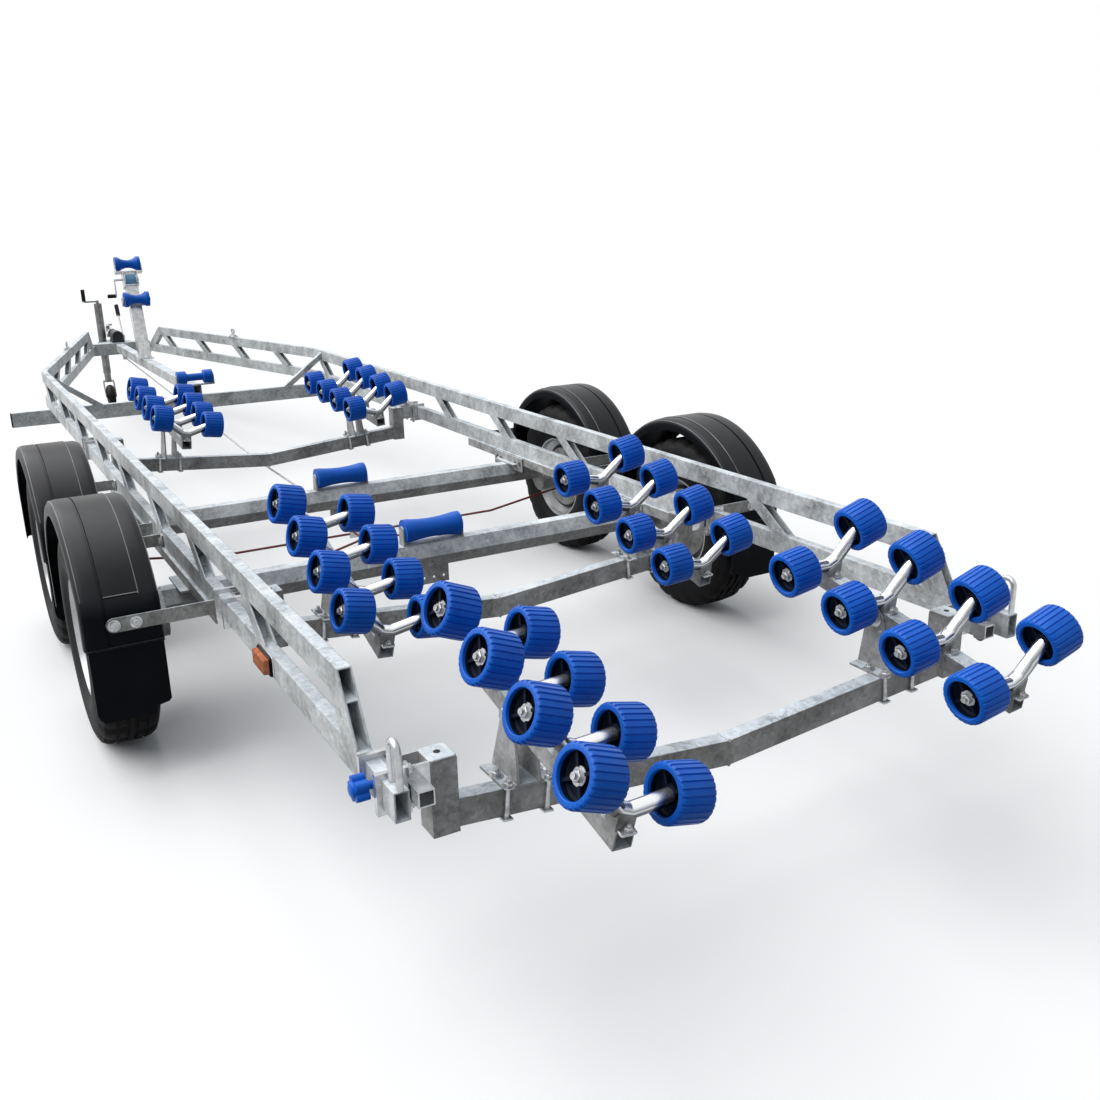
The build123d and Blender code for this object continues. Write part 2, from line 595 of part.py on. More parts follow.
def wheel_arm(wheel_y):
    """Swing arm from the axle's end to the stub axle, with the brake back plate."""
    axle = (wheel_y + AXLE_LEAD, AXLE_Z)
    hub = (wheel_y, TYRE_R)
    drum_in = WHEEL_X + DISC_OFFSET - DRUM_W
    plate_in = drum_in - BACKPLATE_GAP - BACKPLATE_T
    with BuildPart() as arm:
        with BuildSketch(Plane.YZ.offset(AXLE_HALF)):
            for centre in (axle, hub):
                with Locations(centre):
                    Circle(ARM_BOSS_R)
            make_hull()
        extrude(amount=ARM_PLATE_T)
        with BuildSketch(Plane.YZ.offset(AXLE_HALF + ARM_PLATE_T)):
            with Locations(hub):
                Circle(HUB_R)
        extrude(amount=plate_in - AXLE_HALF - ARM_PLATE_T)
        with BuildSketch(Plane.YZ.offset(plate_in)):
            with Locations(hub):
                Circle(DRUM_R + BACKPLATE_GAP)
        extrude(amount=BACKPLATE_T)
        with BuildSketch(Plane.YZ.offset(plate_in + BACKPLATE_T)):
            with Locations(hub):
                Circle(SPINDLE_D / 2)
        extrude(amount=BACKPLATE_GAP + DRUM_W)
    return arm.part


def wheel_arms():
    return both_sides(joined([wheel_arm(y) for _, y in WHEEL_YS]))


def tyre():
    """A tyre on the X axis: flat tread with round shoulders, bulged walls, open at the beads."""
    half, bead_half = TYRE_W / 2, RIM_W / 2
    wall_r = (TYRE_R + BEAD_R) / 2
    shoulder = TYRE_CROWN_R / 2
    with BuildPart() as tread:
        with BuildSketch(Plane.XY):
            with BuildLine():
                Line((-bead_half, BEAD_R), (bead_half, BEAD_R))
                ThreePointArc((bead_half, BEAD_R), (half, wall_r), (half - 8, TYRE_R - shoulder))
                ThreePointArc((half - 8, TYRE_R - shoulder), (half - 16, TYRE_R - 9), (half - 34, TYRE_R))
                Line((half - 34, TYRE_R), (34 - half, TYRE_R))
                ThreePointArc((34 - half, TYRE_R), (16 - half, TYRE_R - 9), (8 - half, TYRE_R - shoulder))
                ThreePointArc((8 - half, TYRE_R - shoulder), (-half, wall_r), (-bead_half, BEAD_R))
            make_face()
        revolve(axis=Axis.X)
    return tread.part


def rim():
    """A pressed steel rim with its disc, hub and brake drum, outer side towards +X."""
    half = RIM_W / 2
    bore = SPINDLE_D / 2 + PIN_GAP
    well = RIM_WELL_R - RIM_WALL
    bulge = DISC_OFFSET + 14
    cap = DISC_OFFSET + 42
    with BuildPart() as wheel:
        with BuildSketch(Plane.XY):
            with BuildLine():
                Polyline((-half, BEAD_R), (-half + 18, BEAD_R - 6), (-half + 40, RIM_WELL_R), (half - 40, RIM_WELL_R),
                         (half - 18, BEAD_R - 6), (half, BEAD_R), (half, BEAD_R - RIM_WALL),
                         (half - 18, BEAD_R - 6 - RIM_WALL), (half - 40, RIM_WELL_R - RIM_WALL),
                         (-half + 40, RIM_WELL_R - RIM_WALL), (-half + 18, BEAD_R - 6 - RIM_WALL),
                         (-half, BEAD_R - RIM_WALL), close=True)
            make_face()
        revolve(axis=Axis.X)
        with BuildSketch(Plane.XY):
            with BuildLine():
                Polyline((DISC_OFFSET - DRUM_W, bore), (DISC_OFFSET - DRUM_W, HUB_R), (DISC_OFFSET - DRUM_WALL, HUB_R),
                         (DISC_OFFSET - DRUM_WALL, DRUM_R - DRUM_WALL), (DISC_OFFSET - DRUM_W, DRUM_R - DRUM_WALL),
                         (DISC_OFFSET - DRUM_W, DRUM_R), (DISC_OFFSET, DRUM_R),
                         (DISC_OFFSET, well - 13), (DISC_OFFSET - 16, well), (DISC_OFFSET - 4, well),
                         (DISC_OFFSET + 6, well - 9), (bulge, DRUM_R - 5), (bulge, DRUM_R - 30),
                         (DISC_OFFSET + RIM_WALL, DRUM_R - 47), (DISC_OFFSET + RIM_WALL, HUB_R),
                         (cap, HUB_R - 8), (cap, 0), (DISC_OFFSET + PIN_GAP, 0), (DISC_OFFSET + PIN_GAP, bore),
                         close=True)
            make_face()
        revolve(axis=Axis.X)
        with BuildSketch(Plane.YZ.offset(bulge)):
            with PolarLocations(DRUM_R - 18, VENT_COUNT):
                Circle(VENT_D / 2)
        extrude(amount=-VENT_DEPTH, mode=Mode.SUBTRACT)
    return wheel.part


def wheel_location(side, y):
    turn = 0 if side > 0 else 180
    return Location((side * WHEEL_X, y, TYRE_R), (0, 0, turn))


def guard_outline(plane, inset, low_cut):
    """Side face of a mudguard, brought in by an inset: a flat arch over the wheel with upright ends."""
    half, r = GUARD_HALF - inset, GUARD_R - inset
    centre = GUARD_TOP_Z - GUARD_R - TYRE_R
    shoulder = centre + (r * r - half * half) ** 0.5
    rear, front = GUARD_REAR_Z - TYRE_R - low_cut, GUARD_FRONT_Z - TYRE_R - low_cut
    with BuildSketch(plane) as outline:
        with BuildLine():
            Line((-half, rear), (-half, shoulder))
            ThreePointArc((-half, shoulder), (0, centre + r), (half, shoulder))
            Polyline((half, shoulder), (half, front), (-half, rear))
        make_face()
        fillet(outline.vertices().group_by(Axis.Y)[-1], GUARD_CORNER_R - inset)
    return outline.sketch


def mudguard(y):
    plane = Plane(origin=(WHEEL_X, y, TYRE_R), x_dir=(0, 1, 0), z_dir=(1, 0, 0))
    outside = guard_outline(plane, 0, 0)
    inside = guard_outline(plane, GUARD_T, GUARD_LIP)
    opening = guard_outline(plane, GUARD_LIP, GUARD_LIP)
    with BuildPart() as guard:
        extrude(outside, amount=GUARD_W / 2, both=True)
        extrude(inside, amount=GUARD_W / 2 - GUARD_T, both=True, mode=Mode.SUBTRACT)
        extrude(opening, amount=GUARD_W, both=True, mode=Mode.SUBTRACT)
    return guard.part


def mudguards():
    return both_sides(joined([mudguard(y) for _, y in WHEEL_YS]))


def guard_strap(y, ahead):
    """A flat strap from the lower rail's outer face to the end of a mudguard, with a leg along the rail."""
    rail_out = RAIL_X + TUBE_W / 2
    reach = WHEEL_X + GUARD_W / 2 - 60 - rail_out
    with BuildPart() as strap:
        with BuildSketch(Plane.XZ.offset(-y)):
            with Locations((rail_out + reach / 2, STRAP_Z)):
                SlotOverall(reach, STRAP_H)
            with Locations((rail_out + STRAP_H / 2, STRAP_Z)):
                Rectangle(STRAP_H, STRAP_H)
        extrude(amount=STRAP_T / 2, both=True)
        leg_ends = sorted((y - ahead * STRAP_T / 2, y + ahead * STRAP_LEG))
        block((rail_out, leg_ends[0], STRAP_Z - STRAP_H / 2), (rail_out + STRAP_T, leg_ends[1], STRAP_Z + STRAP_H / 2))
    return strap.part


def mudguard_straps():
    offset = GUARD_HALF + STRAP_T / 2
    return both_sides(joined([guard_strap(y - end * offset, end) for _, y in WHEEL_YS for end in (-1, 1)]))


# Coupling, hand brake

HOUSING_REAR = CROSS_TUBE_REAR + 40
GAITER_REAR = HOUSING_REAR + HOUSING_LONG
HEAD_REAR = GAITER_REAR + GAITER_LONG


def overrun_body():
    """Cast housing bolted to the drawbar plate, with the draw shaft through it."""
    plate_top = LOWER_TOP + PLATE_T
    with BuildPart() as body:
        with BuildSketch(Plane.XZ.offset(-HOUSING_REAR)):
            with Locations((0, SHAFT_Z)):
                Circle(HOUSING_D / 2)
            with Locations((0, (plate_top + SHAFT_Z) / 2)):
                Rectangle(HOUSING_D, SHAFT_Z - plate_top)
        extrude(amount=-HOUSING_LONG)
        with BuildSketch(Plane.XY.offset(plate_top)):
            with Locations((0, HOUSING_REAR + HOUSING_LONG / 2)):
                RectangleRounded(PLATE_NECK_W - 8, HOUSING_LONG - 20, 18)
        extrude(amount=14)
    return body.part


def gaiter():
    """Folded rubber sleeve between the housing and the coupling head."""
    fold = GAITER_LONG / GAITER_FOLDS
    with BuildPart() as sleeve:
        with BuildSketch(Plane.YZ):
            with BuildLine():
                points = [(GAITER_REAR, SHAFT_Z), (GAITER_REAR, SHAFT_Z + SHAFT_D / 2 + 3)]
                for index in range(GAITER_FOLDS):
                    start = GAITER_REAR + index * fold
                    points.append((start + fold / 2, SHAFT_Z + GAITER_D / 2))
                    points.append((start + fold, SHAFT_Z + SHAFT_D / 2 + 3))
                points.append((HEAD_REAR, SHAFT_Z))
                Polyline(*points, close=True)
            make_face()
        revolve(axis=Axis((0, 0, SHAFT_Z), (0, 1, 0)))
    return sleeve.part


def coupling_head():
    """Ball coupling: tapered body with a round nose, a ball cup from below and a lift handle on top."""
    nose = HEAD_REAR + HEAD_LONG
    ball_y = nose - HEAD_W / 2
    with BuildPart() as head:
        with BuildSketch(Plane.XZ.offset(-HEAD_REAR)):
            with Locations((0, SHAFT_Z)):
                Circle(SHAFT_D / 2 + 6)
        extrude(amount=-HEAD_LONG * 0.4)
        with BuildSketch(Plane.XY.offset(SHAFT_Z - 34)):
            with Locations((0, ball_y)):
                Circle(HEAD_W / 2)
            with Locations((0, HEAD_REAR + HEAD_LONG * 0.5)):
                Rectangle(SHAFT_D + 12, HEAD_LONG * 0.5)
            make_hull()
        extrude(amount=62)
        with Locations((0, ball_y, SHAFT_Z - 34)):
            Sphere(BALL_R, mode=Mode.SUBTRACT)
        with BuildSketch(Plane.YZ):
            with BuildLine():
                Polyline((ball_y - 60, SHAFT_Z + 28), (ball_y - 20, SHAFT_Z + 28), (ball_y - 60, SHAFT_Z + 62),
                         (HEAD_REAR + 40, SHAFT_Z + 76), (HEAD_REAR + 40, SHAFT_Z + 62),
                         (ball_y - 80, SHAFT_Z + 46), close=True)
            make_face()
        extrude(amount=14, both=True)
    return head.part


def handbrake_lever():
    """Lever beside the housing, leaning forward, with a grip and a round end button."""
    foot = Vector(HOUSING_D / 2 + LEVER_D / 2, HOUSING_REAR + HOUSING_LONG / 2, LOWER_TOP + PLATE_T + 14)
    heading = Vector(0, 0.55, 1).normalized()
    with BuildPart() as lever:
        with BuildSketch(Plane(origin=foot + heading * LEVER_D, z_dir=heading)):
            Circle(LEVER_D / 2)
        extrude(amount=LEVER_LONG)
        with BuildSketch(Plane(origin=foot + heading * (LEVER_D + LEVER_LONG), z_dir=heading)):
            Circle(GRIP_D / 2)
        extrude(amount=GRIP_LONG, taper=3)
        block((foot.X - LEVER_D / 2, foot.Y - 40, foot.Z), (foot.X + LEVER_D / 2, foot.Y + 40, foot.Z + 40))
    return lever.part


# Jockey wheel

def jack_clamp():
    """A split ring round the jack tube on a bracket at the cross tube's end of the plate."""
    ring = JACK_TUBE_D / 2 + 9
    plate_low = LOWER_TOP
    height = 70
    low = plate_low - height
    front = CROSS_TUBE_Y + CROSS_TUBE_D / 2
    with BuildPart() as clamp:
        with BuildSketch(Plane.XY.offset(low)):
            with Locations((JACK_X, JACK_Y)):
                Circle(ring)
            with Locations((JACK_X, (front + JACK_Y) / 2)):
                Rectangle(ring, JACK_Y - front)
            with Locations((JACK_X, JACK_Y)):
                Circle(JACK_TUBE_D / 2, mode=Mode.SUBTRACT)
        extrude(amount=height)
    return clamp.part


def jack_tube():
    """Outer tube with the crank on top: a rod out to the side and an upright grip."""
    with BuildPart() as tube:
        with BuildSketch(Plane.XY.offset(JACK_TUBE_LOW)):
            with Locations((JACK_X, JACK_Y)):
                Circle(JACK_TUBE_D / 2)
                Circle(JACK_TUBE_D / 2 - JACK_TUBE_WALL, mode=Mode.SUBTRACT)
        extrude(amount=JACK_TUBE_TOP - JACK_TUBE_LOW)
        with BuildSketch(Plane.XY.offset(JACK_TUBE_TOP)):
            with Locations((JACK_X, JACK_Y)):
                Circle(JACK_TUBE_D / 2)
        extrude(amount=8)
        top = JACK_TUBE_TOP + 8
        with BuildSketch(Plane.XY.offset(top)):
            with Locations((JACK_X, JACK_Y)):
                Circle(CRANK_ROD_D)
        extrude(amount=24)
        block((JACK_X - CRANK_R, JACK_Y - CRANK_ROD_D / 2, top + 10),
              (JACK_X, JACK_Y + CRANK_ROD_D / 2, top + 10 + CRANK_ROD_D))
        with BuildSketch(Plane.XY.offset(top + 10 + CRANK_ROD_D / 2)):
            with Locations((JACK_X - CRANK_R, JACK_Y)):
                Circle(CRANK_GRIP_D / 2)
        extrude(amount=CRANK_GRIP_LONG)
    return tube.part


FORK_TOP_Z = 2 * JACK_WHEEL_R + 22


def jack_leg():
    """Inner tube that winds out of the jack, ending at the fork."""
    with BuildPart() as leg:
        with BuildSketch(Plane.XY.offset(FORK_TOP_Z + FORK_TOP_T)):
            with Locations((JACK_X, JACK_Y)):
                Circle(JACK_LEG_D / 2)
        extrude(amount=JACK_TUBE_TOP - FORK_TOP_Z - FORK_TOP_T - 60)
    return leg.part


def jack_fork():
    """Fork under the leg: a top plate and two cheeks that trail to the wheel's axle."""
    axle_y = JACK_Y - JACK_TRAIL
    inside = JACK_WHEEL_W / 2 + FORK_GAP
    with BuildPart() as fork:
        with BuildSketch(Plane.XY.offset(FORK_TOP_Z)):
            with Locations((JACK_X, JACK_Y)):
                Circle(inside + FORK_T)
        extrude(amount=FORK_TOP_T)
        for side in (-1, 1):
            with BuildSketch(Plane.YZ.offset(JACK_X + side * inside)):
                with Locations((axle_y, JACK_WHEEL_R)):
                    Circle(18)
                with Locations((JACK_Y, FORK_TOP_Z)):
                    Rectangle(56, 2)
                make_hull()
            extrude(amount=side * FORK_T)
        with BuildSketch(Plane.YZ.offset(JACK_X)):
            with Locations((axle_y, JACK_WHEEL_R)):
                Circle(10)
        extrude(amount=inside, both=True)
    return fork.part


def jack_wheel():
    """Solid rubber wheel with a round tread and a dished side, bored for its axle."""
    half = JACK_WHEEL_W / 2
    axis = Axis((JACK_X, JACK_Y - JACK_TRAIL, JACK_WHEEL_R), (1, 0, 0))
    with BuildPart() as wheel:
        with BuildSketch(Plane(origin=axis.position, x_dir=(1, 0, 0), z_dir=(0, -1, 0))):
            with BuildLine():
                Line((-half, 10 + PIN_GAP), (half, 10 + PIN_GAP))
                Polyline((half, 10 + PIN_GAP), (half, 26), (half - 12, 34), (half - 12, 62), (half - 4, 70))
                ThreePointArc((half - 4, 70), (0, JACK_WHEEL_R), (4 - half, 70))
                Polyline((4 - half, 70), (12 - half, 62), (12 - half, 34), (-half, 26), (-half, 10 + PIN_GAP))
            make_face()
        revolve(axis=axis)
    return wheel.part


# Winch post

def post_plane(up):
    """Plane square to the leaning winch post, a distance up its middle line from the foot."""
    lean = radians(POST_LEAN)
    axis = Vector(0, sin(lean), cos(lean))
    return Plane(origin=Vector(0, POST_FOOT_Y, LOWER_TOP) + axis * up, x_dir=(1, 0, 0), z_dir=axis)


def winch_post():
    """Leaning square tube on the spine, with a foot plate and a platform for the winch."""
    top = post_plane(POST_LONG)
    with BuildPart() as post:
        with BuildSketch(post_plane(-POST_SIDE)):
            Rectangle(POST_SIDE, POST_SIDE)
            Rectangle(POST_SIDE - 8, POST_SIDE - 8, mode=Mode.SUBTRACT)
        extrude(amount=POST_LONG + POST_SIDE)
        split(bisect_by=Plane.XY.offset(LOWER_TOP), keep=Keep.TOP)
        with BuildSketch(top):
            Rectangle(2 * WINCH_HALF + 2 * WINCH_PLATE_T, WINCH_BASE + 10)
        extrude(amount=PLATFORM_T)
        with BuildSketch(Plane.XY.offset(LOWER_TOP)):
            with Locations((0, POST_FOOT_Y)):
                Rectangle(POST_SIDE + 20, 2 * POST_SIDE)
        extrude(amount=PLATFORM_T)
    return post.part


WINCH_FOOT_UP = POST_LONG + PLATFORM_T
WINCH_DRUM_UP = WINCH_FOOT_UP + DRUM_FLANGE_R + DRUM_GAP
TOP_ROLLER_UP = WINCH_FOOT_UP + WINCH_H + PLATFORM_T + BOW_ROLLER_R + TOP_ROLLER_GAP


def winch_frame():
    """Two side plates for the drum under a cross plate, and a fork on it that holds the top bow roller."""
    plane = post_plane(WINCH_FOOT_UP)
    flank = Plane(origin=plane.origin, x_dir=plane.y_dir, z_dir=(1, 0, 0))
    drum = WINCH_DRUM_UP - WINCH_FOOT_UP
    roller = TOP_ROLLER_UP - WINCH_FOOT_UP
    fork = BOW_ROLLER_LONG / 2 + KEEL_GAP
    neck = (0, WINCH_H + PLATFORM_T / 2)
    with BuildPart() as frame:
        for side in (-1, 1):
            with BuildSketch(flank.offset(side * WINCH_HALF)):
                with Locations((0, 1)):
                    Rectangle(WINCH_BASE, 2)
                with Locations((0, WINCH_H - 1)):
                    Rectangle(WINCH_NECK, 2)
                make_hull()
                with Locations((0, drum)):
                    Circle(WINCH_SHAFT_D / 2 + PIN_GAP, mode=Mode.SUBTRACT)
            extrude(amount=side * WINCH_PLATE_T)
            with BuildSketch(flank.offset(side * fork)):
                with Locations((0, roller)):
                    Circle(18)
                with Locations(neck):
                    Rectangle(WINCH_NECK, PLATFORM_T)
                make_hull()
            extrude(amount=side * KEEL_EAR_T)
        with BuildSketch(flank):
            with Locations(neck):
                Rectangle(WINCH_NECK, PLATFORM_T)
            with Locations((0, roller)):
                Circle(KEEL_PIN_D / 2)
        extrude(amount=fork, both=True)
    return frame.part


def winch_drum():
    """Drum with its strap, flanges and shaft, and the crank handle outside the fork on the left."""
    plane = post_plane(WINCH_DRUM_UP)
    flank = Plane(origin=plane.origin, x_dir=plane.y_dir, z_dir=(1, 0, 0))
    inside = WINCH_HALF - 3
    reach = WINCH_HALF + HANDLE_GAP
    with BuildPart() as drum:
        with BuildSketch(flank.offset(-reach)):
            Circle(WINCH_SHAFT_D / 2)
        extrude(amount=reach + WINCH_HALF + WINCH_PLATE_T + SHAFT_STUB)
        with BuildSketch(flank):
            Circle(DRUM_STRAP_R)
        extrude(amount=inside - 6, both=True)
        for side in (-1, 1):
            with BuildSketch(flank.offset(side * (inside - 6))):
                Circle(DRUM_FLANGE_R)
            extrude(amount=side * 6)
        handle = across(plane.origin - Vector(reach, 0, 0))
        with BuildSketch(handle):
            SlotCenterPoint((0, -HANDLE_LONG / 2), (0, 0), HANDLE_W)
        extrude(amount=-HANDLE_T)
        with BuildSketch(handle.offset(-HANDLE_T)):
            with Locations((0, -HANDLE_LONG)):
                Circle(HANDLE_GRIP_D / 2)
        extrude(amount=-HANDLE_GRIP_LONG)
    return drum.part


def waisted_roller(plane, end_r, waist_r, length, flange):
    """An hourglass roller along a plane's normal, with straight ends, bored for its pin."""
    half = length / 2
    waist = half - flange
    with BuildPart() as roller:
        with BuildSketch(Plane(origin=plane.origin, x_dir=plane.z_dir, z_dir=plane.y_dir)):
            with BuildLine():
                Line((-half, KEEL_PIN_D / 2 + PIN_GAP), (half, KEEL_PIN_D / 2 + PIN_GAP))
                Line((half, KEEL_PIN_D / 2 + PIN_GAP), (half, end_r))
                Line((half, end_r), (waist, end_r))
                ThreePointArc((waist, end_r), (0, waist_r), (-waist, end_r))
                Line((-waist, end_r), (-half, end_r))
                Line((-half, end_r), (-half, KEEL_PIN_D / 2 + PIN_GAP))
            make_face()
        revolve(axis=Axis(plane.origin, plane.z_dir))
    return roller.part


def dumbbell_roller(plane, end_r, waist_r, length, end):
    """A roller with two thick ends on a thin middle, along a plane's normal, bored for its pin."""
    half, slope = length / 2, (end_r - waist_r) / 2
    bore = KEEL_PIN_D / 2 + PIN_GAP
    waist = half - end
    with BuildPart() as roller:
        with BuildSketch(Plane(origin=plane.origin, x_dir=plane.z_dir, z_dir=plane.y_dir)):
            with BuildLine():
                Polyline((-half, bore), (half, bore), (half, end_r), (waist, end_r), (waist - slope, waist_r),
                         (slope - waist, waist_r), (-waist, end_r), (-half, end_r), close=True)
            make_face()
        revolve(axis=Axis(plane.origin, plane.z_dir))
    return roller.part


KEEL_RISE = KEEL_ROLLER_R + KEEL_FLOOR_GAP
KEEL_PLACES = (
    ("front", Vector(0, FRONT_BEAM_Y, LOWER_TOP + KEEL_RISE)),
    ("middle", Vector(0, WHEEL_YS[1][1] + AXLE_LEAD, AXLE_Z + AXLE_FLATS / 2 + KEEL_RISE)),
    ("rear", Vector(0, WHEEL_YS[0][1] + AXLE_LEAD, AXLE_Z + AXLE_FLATS / 2 + KEEL_RISE)),
)
LOW_BOW_PLACE = post_plane(LOW_ROLLER_UP).origin - post_plane(0).y_dir * (POST_SIDE / 2 + LOW_ROLLER_BACK)
TOP_BOW_PLACE = post_plane(TOP_ROLLER_UP).origin


def keel_bracket(place):
    """A base with two ears and the pin of a keel roller."""
    inside = KEEL_ROLLER_LONG / 2 + KEEL_GAP
    base = place.Z - KEEL_RISE
    with BuildPart() as bracket:
        block((-inside - KEEL_EAR_T, place.Y - 22, base), (inside + KEEL_EAR_T, place.Y + 22, base + 5))
        for side in (-1, 1):
            with BuildSketch(Plane.YZ.offset(side * inside)):
                with Locations((place.Y, place.Z)):
                    Circle(18)
                with Locations((place.Y, base + 3)):
                    Rectangle(44, 6)
                make_hull()
            extrude(amount=side * KEEL_EAR_T)
        with BuildSketch(Plane.YZ):
            with Locations((place.Y, place.Z)):
                Circle(KEEL_PIN_D / 2)
        extrude(amount=inside, both=True)
    return bracket.part


def low_bow_bracket():
    """Two ears behind the winch post that hold the lower bow roller."""
    inside = BOW_ROLLER_LONG / 2 + KEEL_GAP
    plane = across(LOW_BOW_PLACE)
    face = LOW_ROLLER_BACK
    with BuildPart() as bracket:
        turned = Plane(origin=LOW_BOW_PLACE, x_dir=post_plane(0).y_dir, z_dir=(1, 0, 0))
        for side in (-1, 1):
            with BuildSketch(turned.offset(side * inside)):
                Circle(18)
                with Locations((face - 3, 0)):
                    Rectangle(6, 60)
                make_hull()
            extrude(amount=side * KEEL_EAR_T)
        with BuildSketch(turned):
            with Locations((face - 3, 0)):
                Rectangle(6, 60)
        extrude(amount=inside, both=True)
        with BuildSketch(plane):
            Circle(KEEL_PIN_D / 2)
        extrude(amount=inside, both=True)
    return bracket.part


def roller_brackets():
    return joined([keel_bracket(place) for _, place in KEEL_PLACES] + [low_bow_bracket()])


# Rear fittings, lamps and eyes

def light_sockets():
    """A square tube beside each lower rail's end that takes a lighting board's arm, open to the back."""
    rear = LOWER_RAIL_REAR_Y + SOCKET_INSET
    cheek = CRADLE_ROWS[0][1] - POST_D / 2
    return both_sides(tube_along([(SOCKET_X, rear, SOCKET_Z), (SOCKET_X, cheek, SOCKET_Z)],
                                 SOCKET_SIDE, SOCKET_SIDE, SOCKET_WALL))


def star_knobs():
    """Lobed clamping knob on the outer face of each lower rail."""
    y = CRADLE_ROWS[0][1]
    rail_out = RAIL_X + TUBE_W / 2
    with BuildPart() as knob:
        with BuildSketch(Plane.YZ.offset(rail_out)):
            with Locations((y, LOWER_RAIL_Z)):
                Circle(8)
        extrude(amount=14)
        with BuildSketch(Plane.YZ.offset(rail_out + 14)):
            with Locations((y, LOWER_RAIL_Z)):
                Circle(KNOB_D / 2 - 9)
                with PolarLocations(KNOB_D / 2 - 9, KNOB_LOBES):
                    Circle(9)
        extrude(amount=KNOB_T)
    return both_sides(knob.part)


def side_markers():
    with BuildPart() as lamp:
        with BuildSketch(Plane.YZ.offset(RAIL_X + TUBE_W / 2)):
            with Locations((LAMP_Y, LOWER_RAIL_Z)):
                RectangleRounded(LAMP_L, LAMP_H, 6)
        extrude(amount=LAMP_T, taper=8)
    return both_sides(lamp.part)


def tie_down_eyes():
    """An eye plate clamped on each converging upper rail, and a lashing loop at each lower rail's end."""
    eye_y = RAIL_BEND_Y + EYE_STATION * cos(radians(RAIL_ANGLE))
    eye_x = rail_x_at(eye_y)
    with BuildPart() as eyes:
        with BuildSketch(Plane.YZ.offset(eye_x - EYE_PLATE_T / 2)):
            with Locations((eye_y, UPPER_TOP + EYE_H / 2)):
                SlotOverall(EYE_H, 44, rotation=90)
            with Locations((eye_y, UPPER_TOP + 8)):
                Rectangle(60, 16)
            with Locations((eye_y, UPPER_TOP + EYE_H - 22)):
                Circle(EYE_HOLE_D / 2, mode=Mode.SUBTRACT)
        extrude(amount=EYE_PLATE_T)
        with BuildSketch(Plane.YZ.offset(RAIL_X - LOOP_D / 2)):
            with Locations((LOWER_RAIL_REAR_Y + LOOP_W / 2, LOWER_TOP)):
                SlotOverall(2 * LOOP_H, LOOP_W, rotation=90)
                SlotOverall(2 * LOOP_H - 2 * LOOP_D, LOOP_W - 2 * LOOP_D, rotation=90, mode=Mode.SUBTRACT)
        extrude(amount=LOOP_D)
        split(bisect_by=Plane.XY.offset(LOWER_TOP), keep=Keep.TOP)
    return both_sides(eyes.part)


NODES = {
    "upper_rails": upper_rails,
    "lower_rails": lower_rails,
    "rail_struts": rail_struts,
    "drawbar_tubes": drawbar_tubes,
    "front_cross_beam": front_cross_beam,
    "beam_end_caps": beam_end_caps,
    "v_beams": v_beams,
    "beam_clamps": beam_clamps,
    "cradle_brackets": cradle_brackets,
    "axle_carriers": axle_carriers,
    "axle_tubes": axle_tubes,
    "wheel_arms": wheel_arms,
    "brake_rod": brake_rod,
    "brake_cables": brake_cables,
    "mudguards": mudguards,
    "mudguard_straps": mudguard_straps,
    "overrun_body": overrun_body,
    "gaiter": gaiter,
    "coupling_head": coupling_head,
    "handbrake_lever": handbrake_lever,
    "jack_clamp": jack_clamp,
    "jack_tube": jack_tube,
    "jack_leg": jack_leg,
    "jack_fork": jack_fork,
    "jack_wheel": jack_wheel,
    "winch_post": winch_post,
    "winch_frame": winch_frame,
    "winch_drum": winch_drum,
    "roller_brackets": roller_brackets,
    "light_sockets": light_sockets,
    "star_knobs": star_knobs,
    "side_markers": side_markers,
    "tie_down_eyes": tie_down_eyes,
}


def build():
    os.makedirs(PART_FOLDER, exist_ok=True)
    for name, make in NODES.items():
        save(make(), name)
    tyre_part, rim_part = tyre(), rim()
    for side, side_name in ((-1, "left"), (1, "right")):
        for axle_name, y in WHEEL_YS:
            place = wheel_location(side, y)
            save(tyre_part.moved(place), f"tyre_{axle_name}_{side_name}")
            save(rim_part.moved(place), f"rim_{axle_name}_{side_name}")
        for row in CRADLE_ROWS:
            save(cradle_arm(row, side), f"cradle_arm_{row[0]}_{side_name}")
            save(cradle_rollers(row, side), f"cradle_rollers_{row[0]}_{side_name}")
    for name, place in KEEL_PLACES:
        if name == "front":
            roller = dumbbell_roller(across(place), KEEL_ROLLER_R, DUMBBELL_WAIST, KEEL_ROLLER_LONG, DUMBBELL_END)
        else:
            roller = waisted_roller(across(place), KEEL_ROLLER_R, KEEL_ROLLER_WAIST, KEEL_ROLLER_LONG, KEEL_FLANGE)
        save(roller, f"keel_roller_{name}")
    for name, place in (("low", LOW_BOW_PLACE), ("top", TOP_BOW_PLACE)):
        roller = waisted_roller(across(place), BOW_ROLLER_R, BOW_ROLLER_WAIST, BOW_ROLLER_LONG, BOW_FLANGE)
        save(roller, f"bow_roller_{name}")


build()
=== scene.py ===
"""Looks of the roller boat trailer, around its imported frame. Metres, same frame as the solids."""

import math

import bmesh
import bpy
from mathutils import Matrix, Vector


